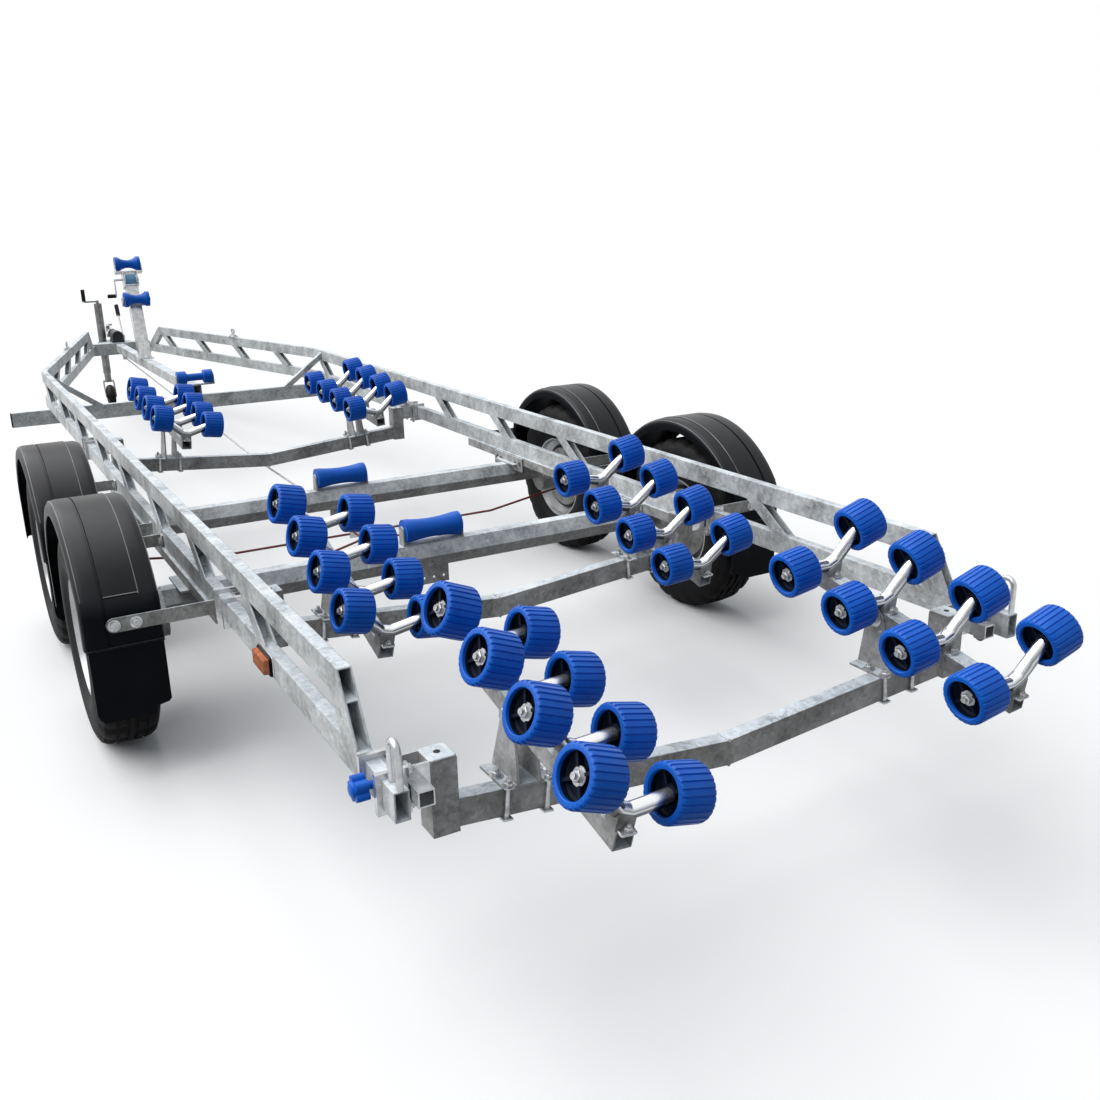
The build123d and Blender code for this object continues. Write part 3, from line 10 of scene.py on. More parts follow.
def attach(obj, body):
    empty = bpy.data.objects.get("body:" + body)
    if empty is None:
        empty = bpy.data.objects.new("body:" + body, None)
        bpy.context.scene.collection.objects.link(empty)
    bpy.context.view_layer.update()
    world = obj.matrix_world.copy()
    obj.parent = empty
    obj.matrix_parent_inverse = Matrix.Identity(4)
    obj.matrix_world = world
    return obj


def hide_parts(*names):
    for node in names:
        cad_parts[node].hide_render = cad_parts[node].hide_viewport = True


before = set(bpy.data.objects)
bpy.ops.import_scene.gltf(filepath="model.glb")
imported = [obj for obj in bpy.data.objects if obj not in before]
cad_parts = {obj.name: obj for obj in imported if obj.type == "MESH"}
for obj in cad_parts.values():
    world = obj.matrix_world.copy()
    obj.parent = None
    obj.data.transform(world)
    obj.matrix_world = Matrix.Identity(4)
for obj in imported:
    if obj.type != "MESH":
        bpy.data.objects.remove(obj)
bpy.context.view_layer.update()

# Sizes shared with the solids
RAIL_X, TUBE_W, TUBE_H = 0.807, 0.030, 0.060
LOWER_Z, UPPER_Z = 0.484, 0.625
LOWER_TOP, UPPER_TOP = LOWER_Z + TUBE_H / 2, UPPER_Z + TUBE_H / 2
RAIL_REAR_Y, RAIL_BEND_Y, RAIL_TURN = -4.060, 1.253, 0.24063
SLOPE = math.radians(5.0)
V_TOP, V_D, V_H = 0.356, 0.040, 0.060
POST_X, POST_W, POST_D, POST_TOP = 0.692, 0.056, 0.060, 0.510
# row name, V beam y, pivot y, bracket x, pivot height over the beam, pitch, lean
CRADLE_ROWS = (
    ("rear", -3.955, -3.928, 0.511, 0.136, 12.0, 21.5),
    ("middle", -2.844, -2.840, 0.510, 0.127, 15.5, 11.5),
    ("front", -0.352, -0.355, 0.467, 0.167, 5.5, 8.5),
)
BAR_STATIONS = (-0.375, -0.187, 0.001, 0.189)
BAR_R, BAR_FLAT, BAR_BEND, BAR_RISE = 0.013, 0.030, 0.028, 29.0
ARM_HALF, BAR_SKIN_R = 0.020, 0.0160
BAR_UP = ARM_HALF + 0.016 + BAR_R
ROLLER_R, ROLLER_W, ROLLER_OFFSET = 0.057, 0.080, 0.108
RECESS_R, RECESS_DEPTH = 0.0415, 0.024
# How far the loose rollers lie over on their bars: row and side, then outer and inner roller in degrees
ROLLER_TILT = {
    ("rear", -1): (18, 10), ("rear", 1): (14, 4), ("middle", -1): (9, 4), ("middle", 1): (6, -2),
    ("front", -1): (6, 3), ("front", 1): (4, -2),
}
WHEEL_X = 1.070
WHEELS = (("rear", -2.412), ("front", -1.497))
TYRE_R, TYRE_W, BEAD_R, RIM_HALF, DISC_OUT = 0.325, 0.178, 0.176, 0.075, 0.035
GUARD_HALF, GUARD_TOP, GUARD_R, GUARD_CORNER, GUARD_W = 0.374, 0.732, 0.440, 0.090, 0.206
GUARD_LIP, GUARD_SKIN, GUARD_FRONT_LOW, GUARD_REAR_LOW = 0.045, 0.004, 0.320, 0.200
STRAP_Z, STRAP_T = 0.474, 0.005
EYE_STATION, EYE_UP = 1.093, 0.062
SIDES = (("left", -1), ("right", 1))


# Materials

def principled(name):
    mat = bpy.data.materials.new(name)
    mat.use_nodes = True
    return mat, mat.node_tree.nodes, mat.node_tree.links, mat.node_tree.nodes["Principled BSDF"]


def object_point(nodes):
    return nodes.new("ShaderNodeTexCoord").outputs["Object"]


def ramp(nodes, stops):
    node = nodes.new("ShaderNodeValToRGB")
    while len(node.color_ramp.elements) < len(stops):
        node.color_ramp.elements.new(0.5)
    for element, (place, colour) in zip(node.color_ramp.elements, stops):
        element.position = place
        element.color = (*colour, 1)
    return node


def noise(nodes, links, point, scale, detail=4.0, rough=0.55):
    node = nodes.new("ShaderNodeTexNoise")
    node.inputs["Scale"].default_value = scale
    node.inputs["Detail"].default_value = detail
    node.inputs["Roughness"].default_value = rough
    links.new(point, node.inputs["Vector"])
    return node


def span(nodes, links, value, low, high):
    node = nodes.new("ShaderNodeMapRange")
    node.inputs["To Min"].default_value = low
    node.inputs["To Max"].default_value = high
    links.new(value, node.inputs["Value"])
    return node.outputs["Result"]


def bump(nodes, links, shader, height, strength, distance):
    node = nodes.new("ShaderNodeBump")
    node.inputs["Strength"].default_value = strength
    node.inputs["Distance"].default_value = distance
    links.new(height, node.inputs["Height"])
    links.new(node.outputs["Normal"], shader.inputs["Normal"])
    return node


def upward(nodes, links, low, high):
    """A value that goes from low where the surface faces sideways or down to high where it faces the sky."""
    facing = nodes.new("ShaderNodeSeparateXYZ")
    links.new(nodes.new("ShaderNodeNewGeometry").outputs["Normal"], facing.inputs["Vector"])
    node = nodes.new("ShaderNodeMapRange")
    node.inputs["From Min"].default_value = 0.05
    node.inputs["From Max"].default_value = 0.9
    node.inputs["To Min"].default_value = low
    node.inputs["To Max"].default_value = high
    links.new(facing.outputs["Z"], node.inputs["Value"])
    return node.outputs["Result"]


def mottled(name, dark, light, scale, rough, metal=0.0, grain=None, painted_sheen=(0.5, 0.5)):
    """A surface whose colour and gloss wander between two values, with a painted sheen: its specular level runs
    from one value on sides to another on tops.
    """
    mat, nodes, links, shader = principled(name)
    point = object_point(nodes)
    wander = noise(nodes, links, point, scale)
    tint = ramp(nodes, ((0.3, dark), (0.7, light)))
    links.new(wander.outputs["Fac"], tint.inputs["Fac"])
    links.new(tint.outputs["Color"], shader.inputs["Base Color"])
    links.new(span(nodes, links, wander.outputs["Fac"], *rough), shader.inputs["Roughness"])
    shader.inputs["Metallic"].default_value = metal
    # Painted sheen: more specular where the surface faces up, less where it faces sideways or down
    links.new(upward(nodes, links, *painted_sheen), shader.inputs["Specular IOR Level"])
    if grain:
        fine = noise(nodes, links, point, grain[0], 2.0)
        bump(nodes, links, shader, fine.outputs["Fac"], grain[1], grain[2])
    return mat


def galvanised(name, painted_shade_side_tones):
    """Hot-dip zinc: crystal spangle over slow stains, with painted light and shade: paler where it faces up,
    darker on its sides; softened at its edges.
    """
    mat, nodes, links, shader = principled(name)
    point = object_point(nodes)
    crystal = nodes.new("ShaderNodeTexVoronoi")
    crystal.inputs["Scale"].default_value = 95.0
    crystal.inputs["Randomness"].default_value = 1.0
    warp = noise(nodes, links, point, 26.0, 3.0)
    bend = nodes.new("ShaderNodeMixRGB")
    bend.inputs["Fac"].default_value = 0.035
    links.new(point, bend.inputs["Color1"])
    links.new(warp.outputs["Color"], bend.inputs["Color2"])
    links.new(bend.outputs["Color"], crystal.inputs["Vector"])
    grey = nodes.new("ShaderNodeRGBToBW")
    links.new(crystal.outputs["Color"], grey.inputs["Color"])
    stain = noise(nodes, links, point, 9.0, 8.0, 0.70)
    total = nodes.new("ShaderNodeMath")
    total.operation = "MULTIPLY_ADD"
    links.new(grey.outputs["Val"], total.inputs[0])
    total.inputs[1].default_value = 0.34
    links.new(span(nodes, links, stain.outputs["Fac"], -0.54, 1.24), total.inputs[2])
    # Painted shade and light: one ramp of side tones for faces turned sideways or down, one paler ramp for faces
    # turned up, mixed by how far the surface faces up
    painted_shade_sides = ramp(nodes, painted_shade_side_tones)
    painted_light_tops = ramp(nodes, ((0.10, (0.24, 0.27, 0.29)), (0.44, (0.58, 0.63, 0.67)), (0.86, (0.88, 0.93, 0.96))))
    links.new(total.outputs["Value"], painted_shade_sides.inputs["Fac"])
    links.new(total.outputs["Value"], painted_light_tops.inputs["Fac"])
    tint = nodes.new("ShaderNodeMixRGB")
    links.new(upward(nodes, links, 0.0, 1.0), tint.inputs["Fac"])
    links.new(painted_shade_sides.outputs["Color"], tint.inputs["Color1"])
    links.new(painted_light_tops.outputs["Color"], tint.inputs["Color2"])
    links.new(tint.outputs["Color"], shader.inputs["Base Color"])
    links.new(span(nodes, links, grey.outputs["Val"], 0.36, 0.55), shader.inputs["Roughness"])
    shader.inputs["Metallic"].default_value = 0.06
    shader.inputs["Specular IOR Level"].default_value = 0.32
    edge = nodes.new("ShaderNodeBevel")
    edge.samples = 4
    edge.inputs["Radius"].default_value = 0.0035
    relief = bump(nodes, links, shader, grey.outputs["Val"], 0.06, 0.0006)
    links.new(edge.outputs["Normal"], relief.inputs["Normal"])
    return mat


def bright_tube(name):
    """Drawn zinc-plated tube with a painted reflection: long bright and dark bands round its girth, set by which
    way the surface faces, over fine wear.
    """
    mat, nodes, links, shader = principled(name)
    point = object_point(nodes)
    facing = nodes.new("ShaderNodeSeparateXYZ")
    links.new(nodes.new("ShaderNodeNewGeometry").outputs["Normal"], facing.inputs["Vector"])
    wear = noise(nodes, links, point, 30.0, 5.0)
    # Painted reflection: the band colour is picked by how far the surface faces up, jittered by the wear noise
    girth = nodes.new("ShaderNodeMath")
    girth.operation = "MULTIPLY_ADD"
    girth.inputs[1].default_value = 0.5
    links.new(facing.outputs["Z"], girth.inputs[0])
    links.new(span(nodes, links, wear.outputs["Fac"], 0.45, 0.55), girth.inputs[2])
    reflection_band = ramp(nodes, PAINTED_REFLECTION_BANDS)
    links.new(girth.outputs["Value"], reflection_band.inputs["Fac"])
    links.new(reflection_band.outputs["Color"], shader.inputs["Base Color"])
    links.new(span(nodes, links, wear.outputs["Fac"], 0.14, 0.30), shader.inputs["Roughness"])
    shader.inputs["Metallic"].default_value = 0.92
    return mat


# Side tones of the two zinc looks, the painted shade on their sideways and downward faces; bright_galvanised has
# the lighter ones
DULL_SIDES_PAINTED_SHADE = ((0.10, (0.13, 0.128, 0.122)), (0.48, (0.32, 0.316, 0.306)), (0.9, (0.58, 0.585, 0.58)))
BRIGHT_SIDES_PAINTED_SHADE = ((0.10, (0.20, 0.206, 0.206)), (0.48, (0.50, 0.516, 0.516)), (0.9, (0.80, 0.83, 0.84)))
# Painted reflection bands of the bright tube, from faces turned down to faces turned up
PAINTED_REFLECTION_BANDS = ((0.20, (0.07, 0.072, 0.076)), (0.42, (0.16, 0.165, 0.17)), (0.52, (0.62, 0.64, 0.66)),
           (0.60, (0.20, 0.205, 0.21)), (0.70, (0.58, 0.60, 0.62)), (0.80, (0.95, 0.96, 0.97)))
# The last pair given to a mottled look is its painted sheen, specular level on sides then on tops; tyres, rubber,
# black plastic, blue plastic, roller cores and black paint have one
LOOKS = {
    "galvanised": galvanised("galvanised", DULL_SIDES_PAINTED_SHADE),
    "bright_galvanised": galvanised("bright_galvanised", BRIGHT_SIDES_PAINTED_SHADE),
    "bright_tube": bright_tube("bright_tube"),
    "zinc": mottled("zinc", (0.42, 0.43, 0.44), (0.72, 0.73, 0.74), 40, (0.18, 0.32), 0.7),
    "fastener": mottled("fastener", (0.30, 0.31, 0.32), (0.62, 0.63, 0.64), 90, (0.24, 0.40), 0.7),
    "cast": mottled("cast", (0.30, 0.31, 0.31), (0.50, 0.51, 0.51), 30, (0.40, 0.58), 0.5, (260, 0.25, 0.0006)),
    "dark_steel": mottled("dark_steel", (0.10, 0.102, 0.102), (0.30, 0.306, 0.306), 22, (0.26, 0.42), 0.5),
    # Painted highlight: pale grey for the thin beads along the mudguards' edges
    "painted_edge_highlight": mottled("painted_edge_highlight", (0.020, 0.022, 0.025), (0.24, 0.25, 0.26), 5, (0.25, 0.40)),
    "silver_paint": mottled("silver_paint", (0.40, 0.41, 0.42), (0.58, 0.59, 0.60), 12, (0.28, 0.40), 0.5),
    "tyre_rubber": mottled("tyre_rubber", (0.006, 0.006, 0.007), (0.015, 0.015, 0.016), 25, (0.55, 0.75), 0.0,
                           (420, 0.15, 0.0004), (0.08, 0.35)),
    "black_rubber": mottled("black_rubber", (0.006, 0.006, 0.007), (0.016, 0.016, 0.017), 30, (0.5, 0.7), 0.0,
                            None, (0.1, 0.4)),
    "black_plastic": mottled("black_plastic", (0.0028, 0.0034, 0.0046), (0.0066, 0.0082, 0.0115), 7,
                             (0.30, 0.44), 0.0, (900, 0.12, 0.0002), (0.04, 0.30)),
    "blue_plastic": mottled("blue_plastic", (0.002, 0.098, 0.52), (0.004, 0.128, 0.64), 18, (0.34, 0.48), 0.0,
                            (500, 0.05, 0.0002), (0.12, 0.40)),
    # Painted shade: the roller ends' recesses, hub and spokes drawn near black in place of their blue
    "painted_shade_roller_core": mottled("painted_shade_roller_core", (0.001, 0.003, 0.010), (0.002, 0.006, 0.020), 30, (0.5, 0.7), 0.0,
                           None, (0.1, 0.2)),
    "amber_lens": mottled("amber_lens", (0.34, 0.070, 0.004), (0.62, 0.150, 0.010), 90, (0.10, 0.2), 0.0,
                          (160, 0.5, 0.002)),
    "black_paint": mottled("black_paint", (0.010, 0.010, 0.011), (0.030, 0.030, 0.032), 14, (0.30, 0.45), 0.0,
                           (200, 0.10, 0.0004), (0.2, 0.5)),
    "red_cable": mottled("red_cable", (0.10, 0.012, 0.012), (0.17, 0.022, 0.020), 30, (0.40, 0.55)),
    "blue_web": mottled("blue_web", (0.10, 0.28, 0.50), (0.20, 0.42, 0.66), 60, (0.6, 0.8), 0.0,
                        (700, 0.3, 0.0004)),
}

NODE_LOOKS = {
    "beam_end_caps": "black_plastic", "mudguards": "black_plastic", "gaiter": "black_rubber",
    "overrun_body": "black_paint", "coupling_head": "zinc", "handbrake_lever": "zinc", "jack_clamp": "black_paint",
    "jack_tube": "dark_steel", "jack_leg": "dark_steel", "jack_fork": "dark_steel", "jack_wheel": "black_rubber",
    "star_knobs": "blue_plastic", "side_markers": "amber_lens",
    "winch_frame": "zinc", "winch_drum": "zinc", "winch_post": "zinc",
    "brake_rod": "zinc", "brake_cables": "red_cable", "light_sockets": "zinc", "beam_clamps": "zinc",
    "upper_rails": "bright_galvanised", "lower_rails": "bright_galvanised", "rail_struts": "bright_galvanised",
    "front_cross_beam": "bright_galvanised", "drawbar_tubes": "bright_galvanised",
}
PREFIX_LOOKS = (("tyre_", "tyre_rubber"), ("rim_", "silver_paint"), ("cradle_rollers_", "blue_plastic"),
                ("keel_roller_", "blue_plastic"), ("bow_roller_", "blue_plastic"))


def look_of(node):
    for start, look in PREFIX_LOOKS:
        if node.startswith(start):
            return look
    return NODE_LOOKS.get(node, "galvanised")


for node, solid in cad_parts.items():
    solid.data.materials.clear()
    solid.data.materials.append(LOOKS[look_of(node)])


# Mesh helpers

def piece(name, bm, look, body, smooth=35.0):
    """Turns a finished bmesh into a piece that rides on a body."""
    bmesh.ops.recalc_face_normals(bm, faces=bm.faces)
    mesh = bpy.data.meshes.new(name)
    bm.to_mesh(mesh)
    bm.free()
    mesh.materials.append(LOOKS[look])
    for polygon in mesh.polygons:
        polygon.use_smooth = True
    mesh.set_sharp_from_angle(angle=math.radians(smooth))
    obj = bpy.data.objects.new(name, mesh)
    bpy.context.scene.collection.objects.link(obj)
    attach(obj, body)
    return obj


def lathe(bm, profile, turns, place, closed=False, wobble=None):
    """Turns a profile of (along, radius) points about the local X axis."""
    rings = []
    for index in range(turns):
        angle = 2 * math.pi * index / turns
        ring = []
        for row, (along, radius) in enumerate(profile):
            r = radius + (wobble(index, row) if wobble else 0.0)
            ring.append(bm.verts.new(place @ Vector((along, r * math.cos(angle), r * math.sin(angle)))))
        rings.append(ring)
    rows = len(profile) if closed else len(profile) - 1
    for index in range(turns):
        here, there = rings[index], rings[(index + 1) % turns]
        for row in range(rows):
            nxt = (row + 1) % len(profile)
            bm.faces.new((here[row], here[nxt], there[nxt], there[row]))
    return rings


def prism(bm, outline, low, high, place):
    """A prism along local Z from an outline of (x, y) points."""
    bottom = [bm.verts.new(place @ Vector((x, y, low))) for x, y in outline]
    top = [bm.verts.new(place @ Vector((x, y, high))) for x, y in outline]
    count = len(outline)
    for index in range(count):
        nxt = (index + 1) % count
        bm.faces.new((bottom[index], bottom[nxt], top[nxt], top[index]))
    bm.faces.new(bottom[::-1])
    bm.faces.new(top)


def polygon_outline(radius, sides, turn=0.0):
    return [(radius * math.cos(turn + 2 * math.pi * k / sides), radius * math.sin(turn + 2 * math.pi * k / sides))
            for k in range(sides)]


def rounded_path(points, radius, steps=5):
    """A line of points with its corners rounded."""
    path = [points[0]]
    for before, corner, after in zip(points, points[1:], points[2:]):
        a, b = (before - corner).normalized(), (after - corner).normalized()
        half = a.angle(b) / 2
        cut = min(radius / math.tan(half), 0.49 * (before - corner).length, 0.49 * (after - corner).length)
        r = cut * math.tan(half)
        centre = corner + (a + b).normalized() * (r / math.sin(half))
        start, end = corner + a * cut - centre, corner + b * cut - centre
        for step in range(steps + 1):
            t = step / steps
            swing = start.angle(end)
            along = (start * math.sin((1 - t) * swing) + end * math.sin(t * swing)) / math.sin(swing)
            path.append(centre + along)
    path.append(points[-1])
    return path


def tube(bm, path, radius, sides, place=Matrix.Identity(4)):
    """A round rod along a path, capped at both ends."""
    normal = None
    rings = []
    for index, point in enumerate(path):
        before = path[max(index - 1, 0)]
        after = path[min(index + 1, len(path) - 1)]
        heading = (after - before).normalized()
        if normal is None:
            normal = heading.orthogonal().normalized()
        normal = (normal - heading * normal.dot(heading)).normalized()
        across = heading.cross(normal)
        rings.append([bm.verts.new(place @ (point + normal * radius * math.cos(2 * math.pi * k / sides)
                                            + across * radius * math.sin(2 * math.pi * k / sides)))
                      for k in range(sides)])
    for here, there in zip(rings, rings[1:]):
        for k in range(sides):
            nxt = (k + 1) % sides
            bm.faces.new((here[k], here[nxt], there[nxt], there[k]))
    bm.faces.new(rings[0][::-1])
    bm.faces.new(rings[-1])


def nut(bm, place, flats, height, rod, stick):
    """A hex nut on local Z with a washer below and the bolt's end standing out."""
    prism(bm, polygon_outline(flats * 0.86, 20), 0.0, 0.0022, place)
    outer = polygon_outline(flats / math.sqrt(3), 6)
    inner = polygon_outline(flats / math.sqrt(3) * 0.86, 6)
    low = [bm.verts.new(place @ Vector((x, y, 0.0022))) for x, y in outer]
    mid = [bm.verts.new(place @ Vector((x, y, height * 0.86))) for x, y in outer]
    top = [bm.verts.new(place @ Vector((x, y, height))) for x, y in inner]
    for a, b in ((low, mid), (mid, top)):
        for k in range(6):
            bm.faces.new((a[k], a[(k + 1) % 6], b[(k + 1) % 6], b[k]))
    bm.faces.new(top)
    bm.faces.new(low[::-1])
    if stick:
        prism(bm, polygon_outline(rod, 12), height, height + stick, place)


def z_towards(origin, direction):
    """A place whose local Z points along a direction."""
    turn = Vector(direction).normalized().to_track_quat("Z", "Y").to_matrix().to_4x4()
    return Matrix.Translation(origin) @ turn


X_FROM_Z = Matrix(((0, 0, 1, 0), (1, 0, 0, 0), (0, 1, 0, 0), (0, 0, 0, 1)))


def rounded_plate(bm, width, depth, low, high, corner, place):
    """A plate on local Z with round corners and softened top edges."""
    soft = min(0.002, (high - low) / 3)
    rings = []
    for inset, z in ((0.0, low), (0.0, high - soft), (soft, high)):
        ring = []
        for quarter, (sx, sy) in enumerate(((1, 1), (-1, 1), (-1, -1), (1, -1))):
            for step in range(5):
                angle = math.pi / 2 * (quarter + step / 4)
                r = corner - inset
                ring.append(bm.verts.new(place @ Vector((sx * (width / 2 - corner) + r * math.cos(angle),
                                                         sy * (depth / 2 - corner) + r * math.sin(angle), z))))
        rings.append(ring)
    count = len(rings[0])
    for here, there in zip(rings, rings[1:]):
        for k in range(count):
            nxt = (k + 1) % count
            bm.faces.new((here[k], here[nxt], there[nxt], there[k]))
    bm.faces.new(rings[0][::-1])
    bm.faces.new(rings[-1])


def bead(bm, x, y, z, half_d, half_h):
    """A weld bead round a beam's section at a place along X."""
    corners = ((-half_d, -half_h), (half_d, -half_h), (half_d, half_h), (-half_d, half_h))
    for (ay, az), (by, bz) in zip(corners, corners[1:] + corners[:1]):
        path = []
        for step in range(13):
            t = step / 12
            lift = 0.0008 * math.sin(step * 2.4 + ay * 90)
            path.append(Vector((x + lift, y + ay + (by - ay) * t, z + az + (bz - az) * t)))
        tube(bm, path, 0.0034, 8)


# Roller cradles

def cradle_plane(row, side):
    """A cradle's pivot with x along the V beam, y forward and z square to the beam."""
    _, _, y, x, rise, _, _ = row
    across = Vector((math.cos(SLOPE), 0, side * math.sin(SLOPE)))
    normal = Vector((-side * math.sin(SLOPE), 0, math.cos(SLOPE)))
    origin = Vector((side * x, y, V_TOP + x * math.tan(SLOPE))) + normal * rise
    return Matrix.Translation(origin) @ Matrix((across, (0, 1, 0), normal)).transposed().to_4x4()


def cradle_place(row, side):
    return cradle_plane(row, side) @ Matrix.Rotation(math.radians(row[5]), 4, "X")


def bar_places(row, side):
    """The place of each bar's middle on a cradle, leaning outer end up."""
    lean = math.radians(side * row[6])
    base = cradle_place(row, side)
    return [base @ Matrix.Translation((0, y, BAR_UP)) @ Matrix.Rotation(-lean, 4, "Y") for y in BAR_STATIONS]


def roller_place(row, side, bar, end):
    rise = (ROLLER_OFFSET - BAR_FLAT / 2) * math.tan(math.radians(BAR_RISE))
    centre = bar @ Vector((end * ROLLER_OFFSET, 0, rise))
    tilt = ROLLER_TILT[row[0], side][0 if end == side else 1]
    turn = cradle_place(row, side).to_3x3().to_4x4() @ Matrix.Rotation(-side * math.radians(tilt), 4, "Y")
    return Matrix.Translation(centre) @ turn


RIBS = 26
RIB_ANGLES = (0.0, 0.10, 0.22, 0.78, 0.90)
RIB_RADII = (-0.0030, -0.0028, 0.0, 0.0, -0.0028)


def roller(bm, place):
    """A ribbed hull roller: flat ribs with narrow grooves between two thick rims."""
    half = ROLLER_W / 2
    edge = 0.004
    along_rows = [(-half + 0.008, RECESS_R + 0.0002, 0), (-half + 0.0015, RECESS_R + 0.0006, 0),
                  (-half, RECESS_R + 0.002, 0), (-half, ROLLER_R - 0.0060, 0),
                  (-half + 0.0014, ROLLER_R - 0.0030, 0.5), (-half + edge, ROLLER_R - 0.0008, 1),
                  (-half + edge + 0.004, ROLLER_R, 1)]
    along_rows += [(-a, r, g) for a, r, g in along_rows[::-1]]
    rings = []
    for rib in range(RIBS):
        for turn, dip in zip(RIB_ANGLES, RIB_RADII):
            angle = 2 * math.pi * (rib + turn) / RIBS
            ring = []
            for along, radius, grooved in along_rows:
                r = radius + dip * grooved
                ring.append(bm.verts.new(place @ Vector((along, r * math.cos(angle), r * math.sin(angle)))))
            rings.append(ring)
    for index, here in enumerate(rings):
        there = rings[(index + 1) % len(rings)]
        for row in range(len(along_rows) - 1):
            bm.faces.new((here[row], here[row + 1], there[row + 1], there[row]))


def painted_shade_roller_core(bm, place):
    """The inside of a roller's ends, drawn near black as painted shade: recess wall and floor, hub and four
    spokes.
    """
    floor = ROLLER_W / 2 - RECESS_DEPTH
    for end in (-1, 1):
        lathe(bm, ((end * (ROLLER_W / 2 - 0.0075), RECESS_R + 0.0004), (end * (floor + 0.004), RECESS_R),
                   (end * floor, RECESS_R - 0.004), (end * floor, 0.0172), (end * (floor + 0.007), 0.0166),
                   (end * (floor + 0.008), 0.0156), (end * (floor + 0.008), 0.0060)), 36, place)
        for spoke in range(4):
            turn = Matrix.Rotation(math.pi / 4 + spoke * math.pi / 2, 4, "X")
            rim = RECESS_R + 0.0003
            outline = ((0.0160, -0.0028), (rim, -0.0036), (rim, 0.0036), (0.0160, 0.0028))
            low, high = sorted((end * (floor - 0.001), end * (floor + 0.012)))
            prism(bm, outline, low, high, place @ turn @ X_FROM_Z)


def roller_bar(bm, place):
    reach = ROLLER_OFFSET - (ROLLER_W / 2 - RECESS_DEPTH) * math.cos(math.radians(BAR_RISE))
    rise = (reach - BAR_FLAT / 2) * math.tan(math.radians(BAR_RISE))
    bend = BAR_FLAT / 2
    corners = [Vector(p) for p in ((-reach, 0, rise), (-bend, 0, 0), (bend, 0, 0), (reach, 0, rise))]
    tube(bm, rounded_path(corners, BAR_BEND), BAR_SKIN_R, 24, place)


def bar_seat(bm, arm, station):
    """The foot plate under a bar's saddle, bolted to the arm's top at both ends."""
    seat = arm @ Matrix.Translation((0, station, 0))
    rounded_plate(bm, 1.7 * ARM_HALF, 0.070, ARM_HALF - 0.0005, ARM_HALF + 0.0040, 0.004, seat)
    for end in (-1, 1):
        nut(bm, seat @ Matrix.Translation((0, end * 0.0265, ARM_HALF + 0.0040)), 0.0140, 0.0090, 0.004, 0.004)


def beam_u_bolt(bm, plane, x, y, rise):
    """A square U bolt round the V beam, its threaded ends up through the bracket's base."""
    rod, reach = 0.0052, V_D / 2 + 0.0054
    top, low = -rise + 0.024, -rise - V_H - 0.0052
    back, front = y - reach, y + reach
    corners = [Vector(p) for p in ((x, back, top), (x, back, low), (x, front, low), (x, front, top))]
    tube(bm, rounded_path(corners, 0.010), rod, 12, plane)
    for end in (-1, 1):
        seat = plane @ Matrix.Translation((x, y + end * reach, -rise + 0.006))
        nut(bm, seat, 0.017, 0.011, rod, 0.0)
    foot = [(x - 0.011, y - reach - 0.009), (x + 0.011, y - reach - 0.009), (x + 0.011, y + reach + 0.009),
            (x - 0.011, y + reach + 0.009)]
    prism(bm, foot, -rise - V_H - 0.0045, -rise - V_H - 0.0002, plane)


for row in CRADLE_ROWS:
    for side_name, side in SIDES:
        body = f"cradle_{row[0]}_{side_name}"
        rollers, cores, bars, clips = bmesh.new(), bmesh.new(), bmesh.new(), bmesh.new()
        for bar in bar_places(row, side):
            roller_bar(bars, bar)
            for end in (-1, 1):
                place = roller_place(row, side, bar, end)
                roller(rollers, place)
                painted_shade_roller_core(cores, place)
                face = place @ Matrix.Translation((end * (ROLLER_W / 2 - RECESS_DEPTH + 0.0075), 0, 0))
                nut(clips, face @ Matrix.Rotation(end * math.pi / 2, 4, "Y"), 0.0205, 0.011, 0.0065, 0.005)
        for station in BAR_STATIONS:
            bar_seat(clips, cradle_place(row, side), station)
        shown = piece(f"ribbed_rollers_{row[0]}_{side_name}", rollers, "blue_plastic", body, 30)
        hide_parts(f"cradle_rollers_{row[0]}_{side_name}")
        # Painted shade pieces inside the roller ends
        piece(f"roller_cores_{row[0]}_{side_name}", cores, "painted_shade_roller_core", body)
        shown = piece(f"bright_bars_{row[0]}_{side_name}", bars, "bright_tube", body)
        piece(f"cradle_nuts_{row[0]}_{side_name}", clips, "fastener", body)

bolts = bmesh.new()
for row in CRADLE_ROWS:
    for _, side in SIDES:
        plane = cradle_plane(row, side)
        for x in (-0.046, 0.046):
            beam_u_bolt(bolts, plane, x, row[1] - row[2], row[4])
        for end in (-1, 1):
            seat = plane @ Matrix.Translation((end * 0.027, 0, 0)) @ Matrix.Rotation(end * math.pi / 2, 4, "Y")
            nut(bolts, seat, 0.026, 0.013, 0.008, 0.0)
piece("bracket_bolts", bolts, "fastener", "chassis")


# The front row's brackets: the solids hold those of the rear and middle rows only

BRACKET_BASE, EAR_T, EAR_R, PIVOT_R = 0.110, 0.006, 0.024, 0.008
STOP_R, STOP_STATION, STOP_DROP = 0.006, 0.028, 0.0263


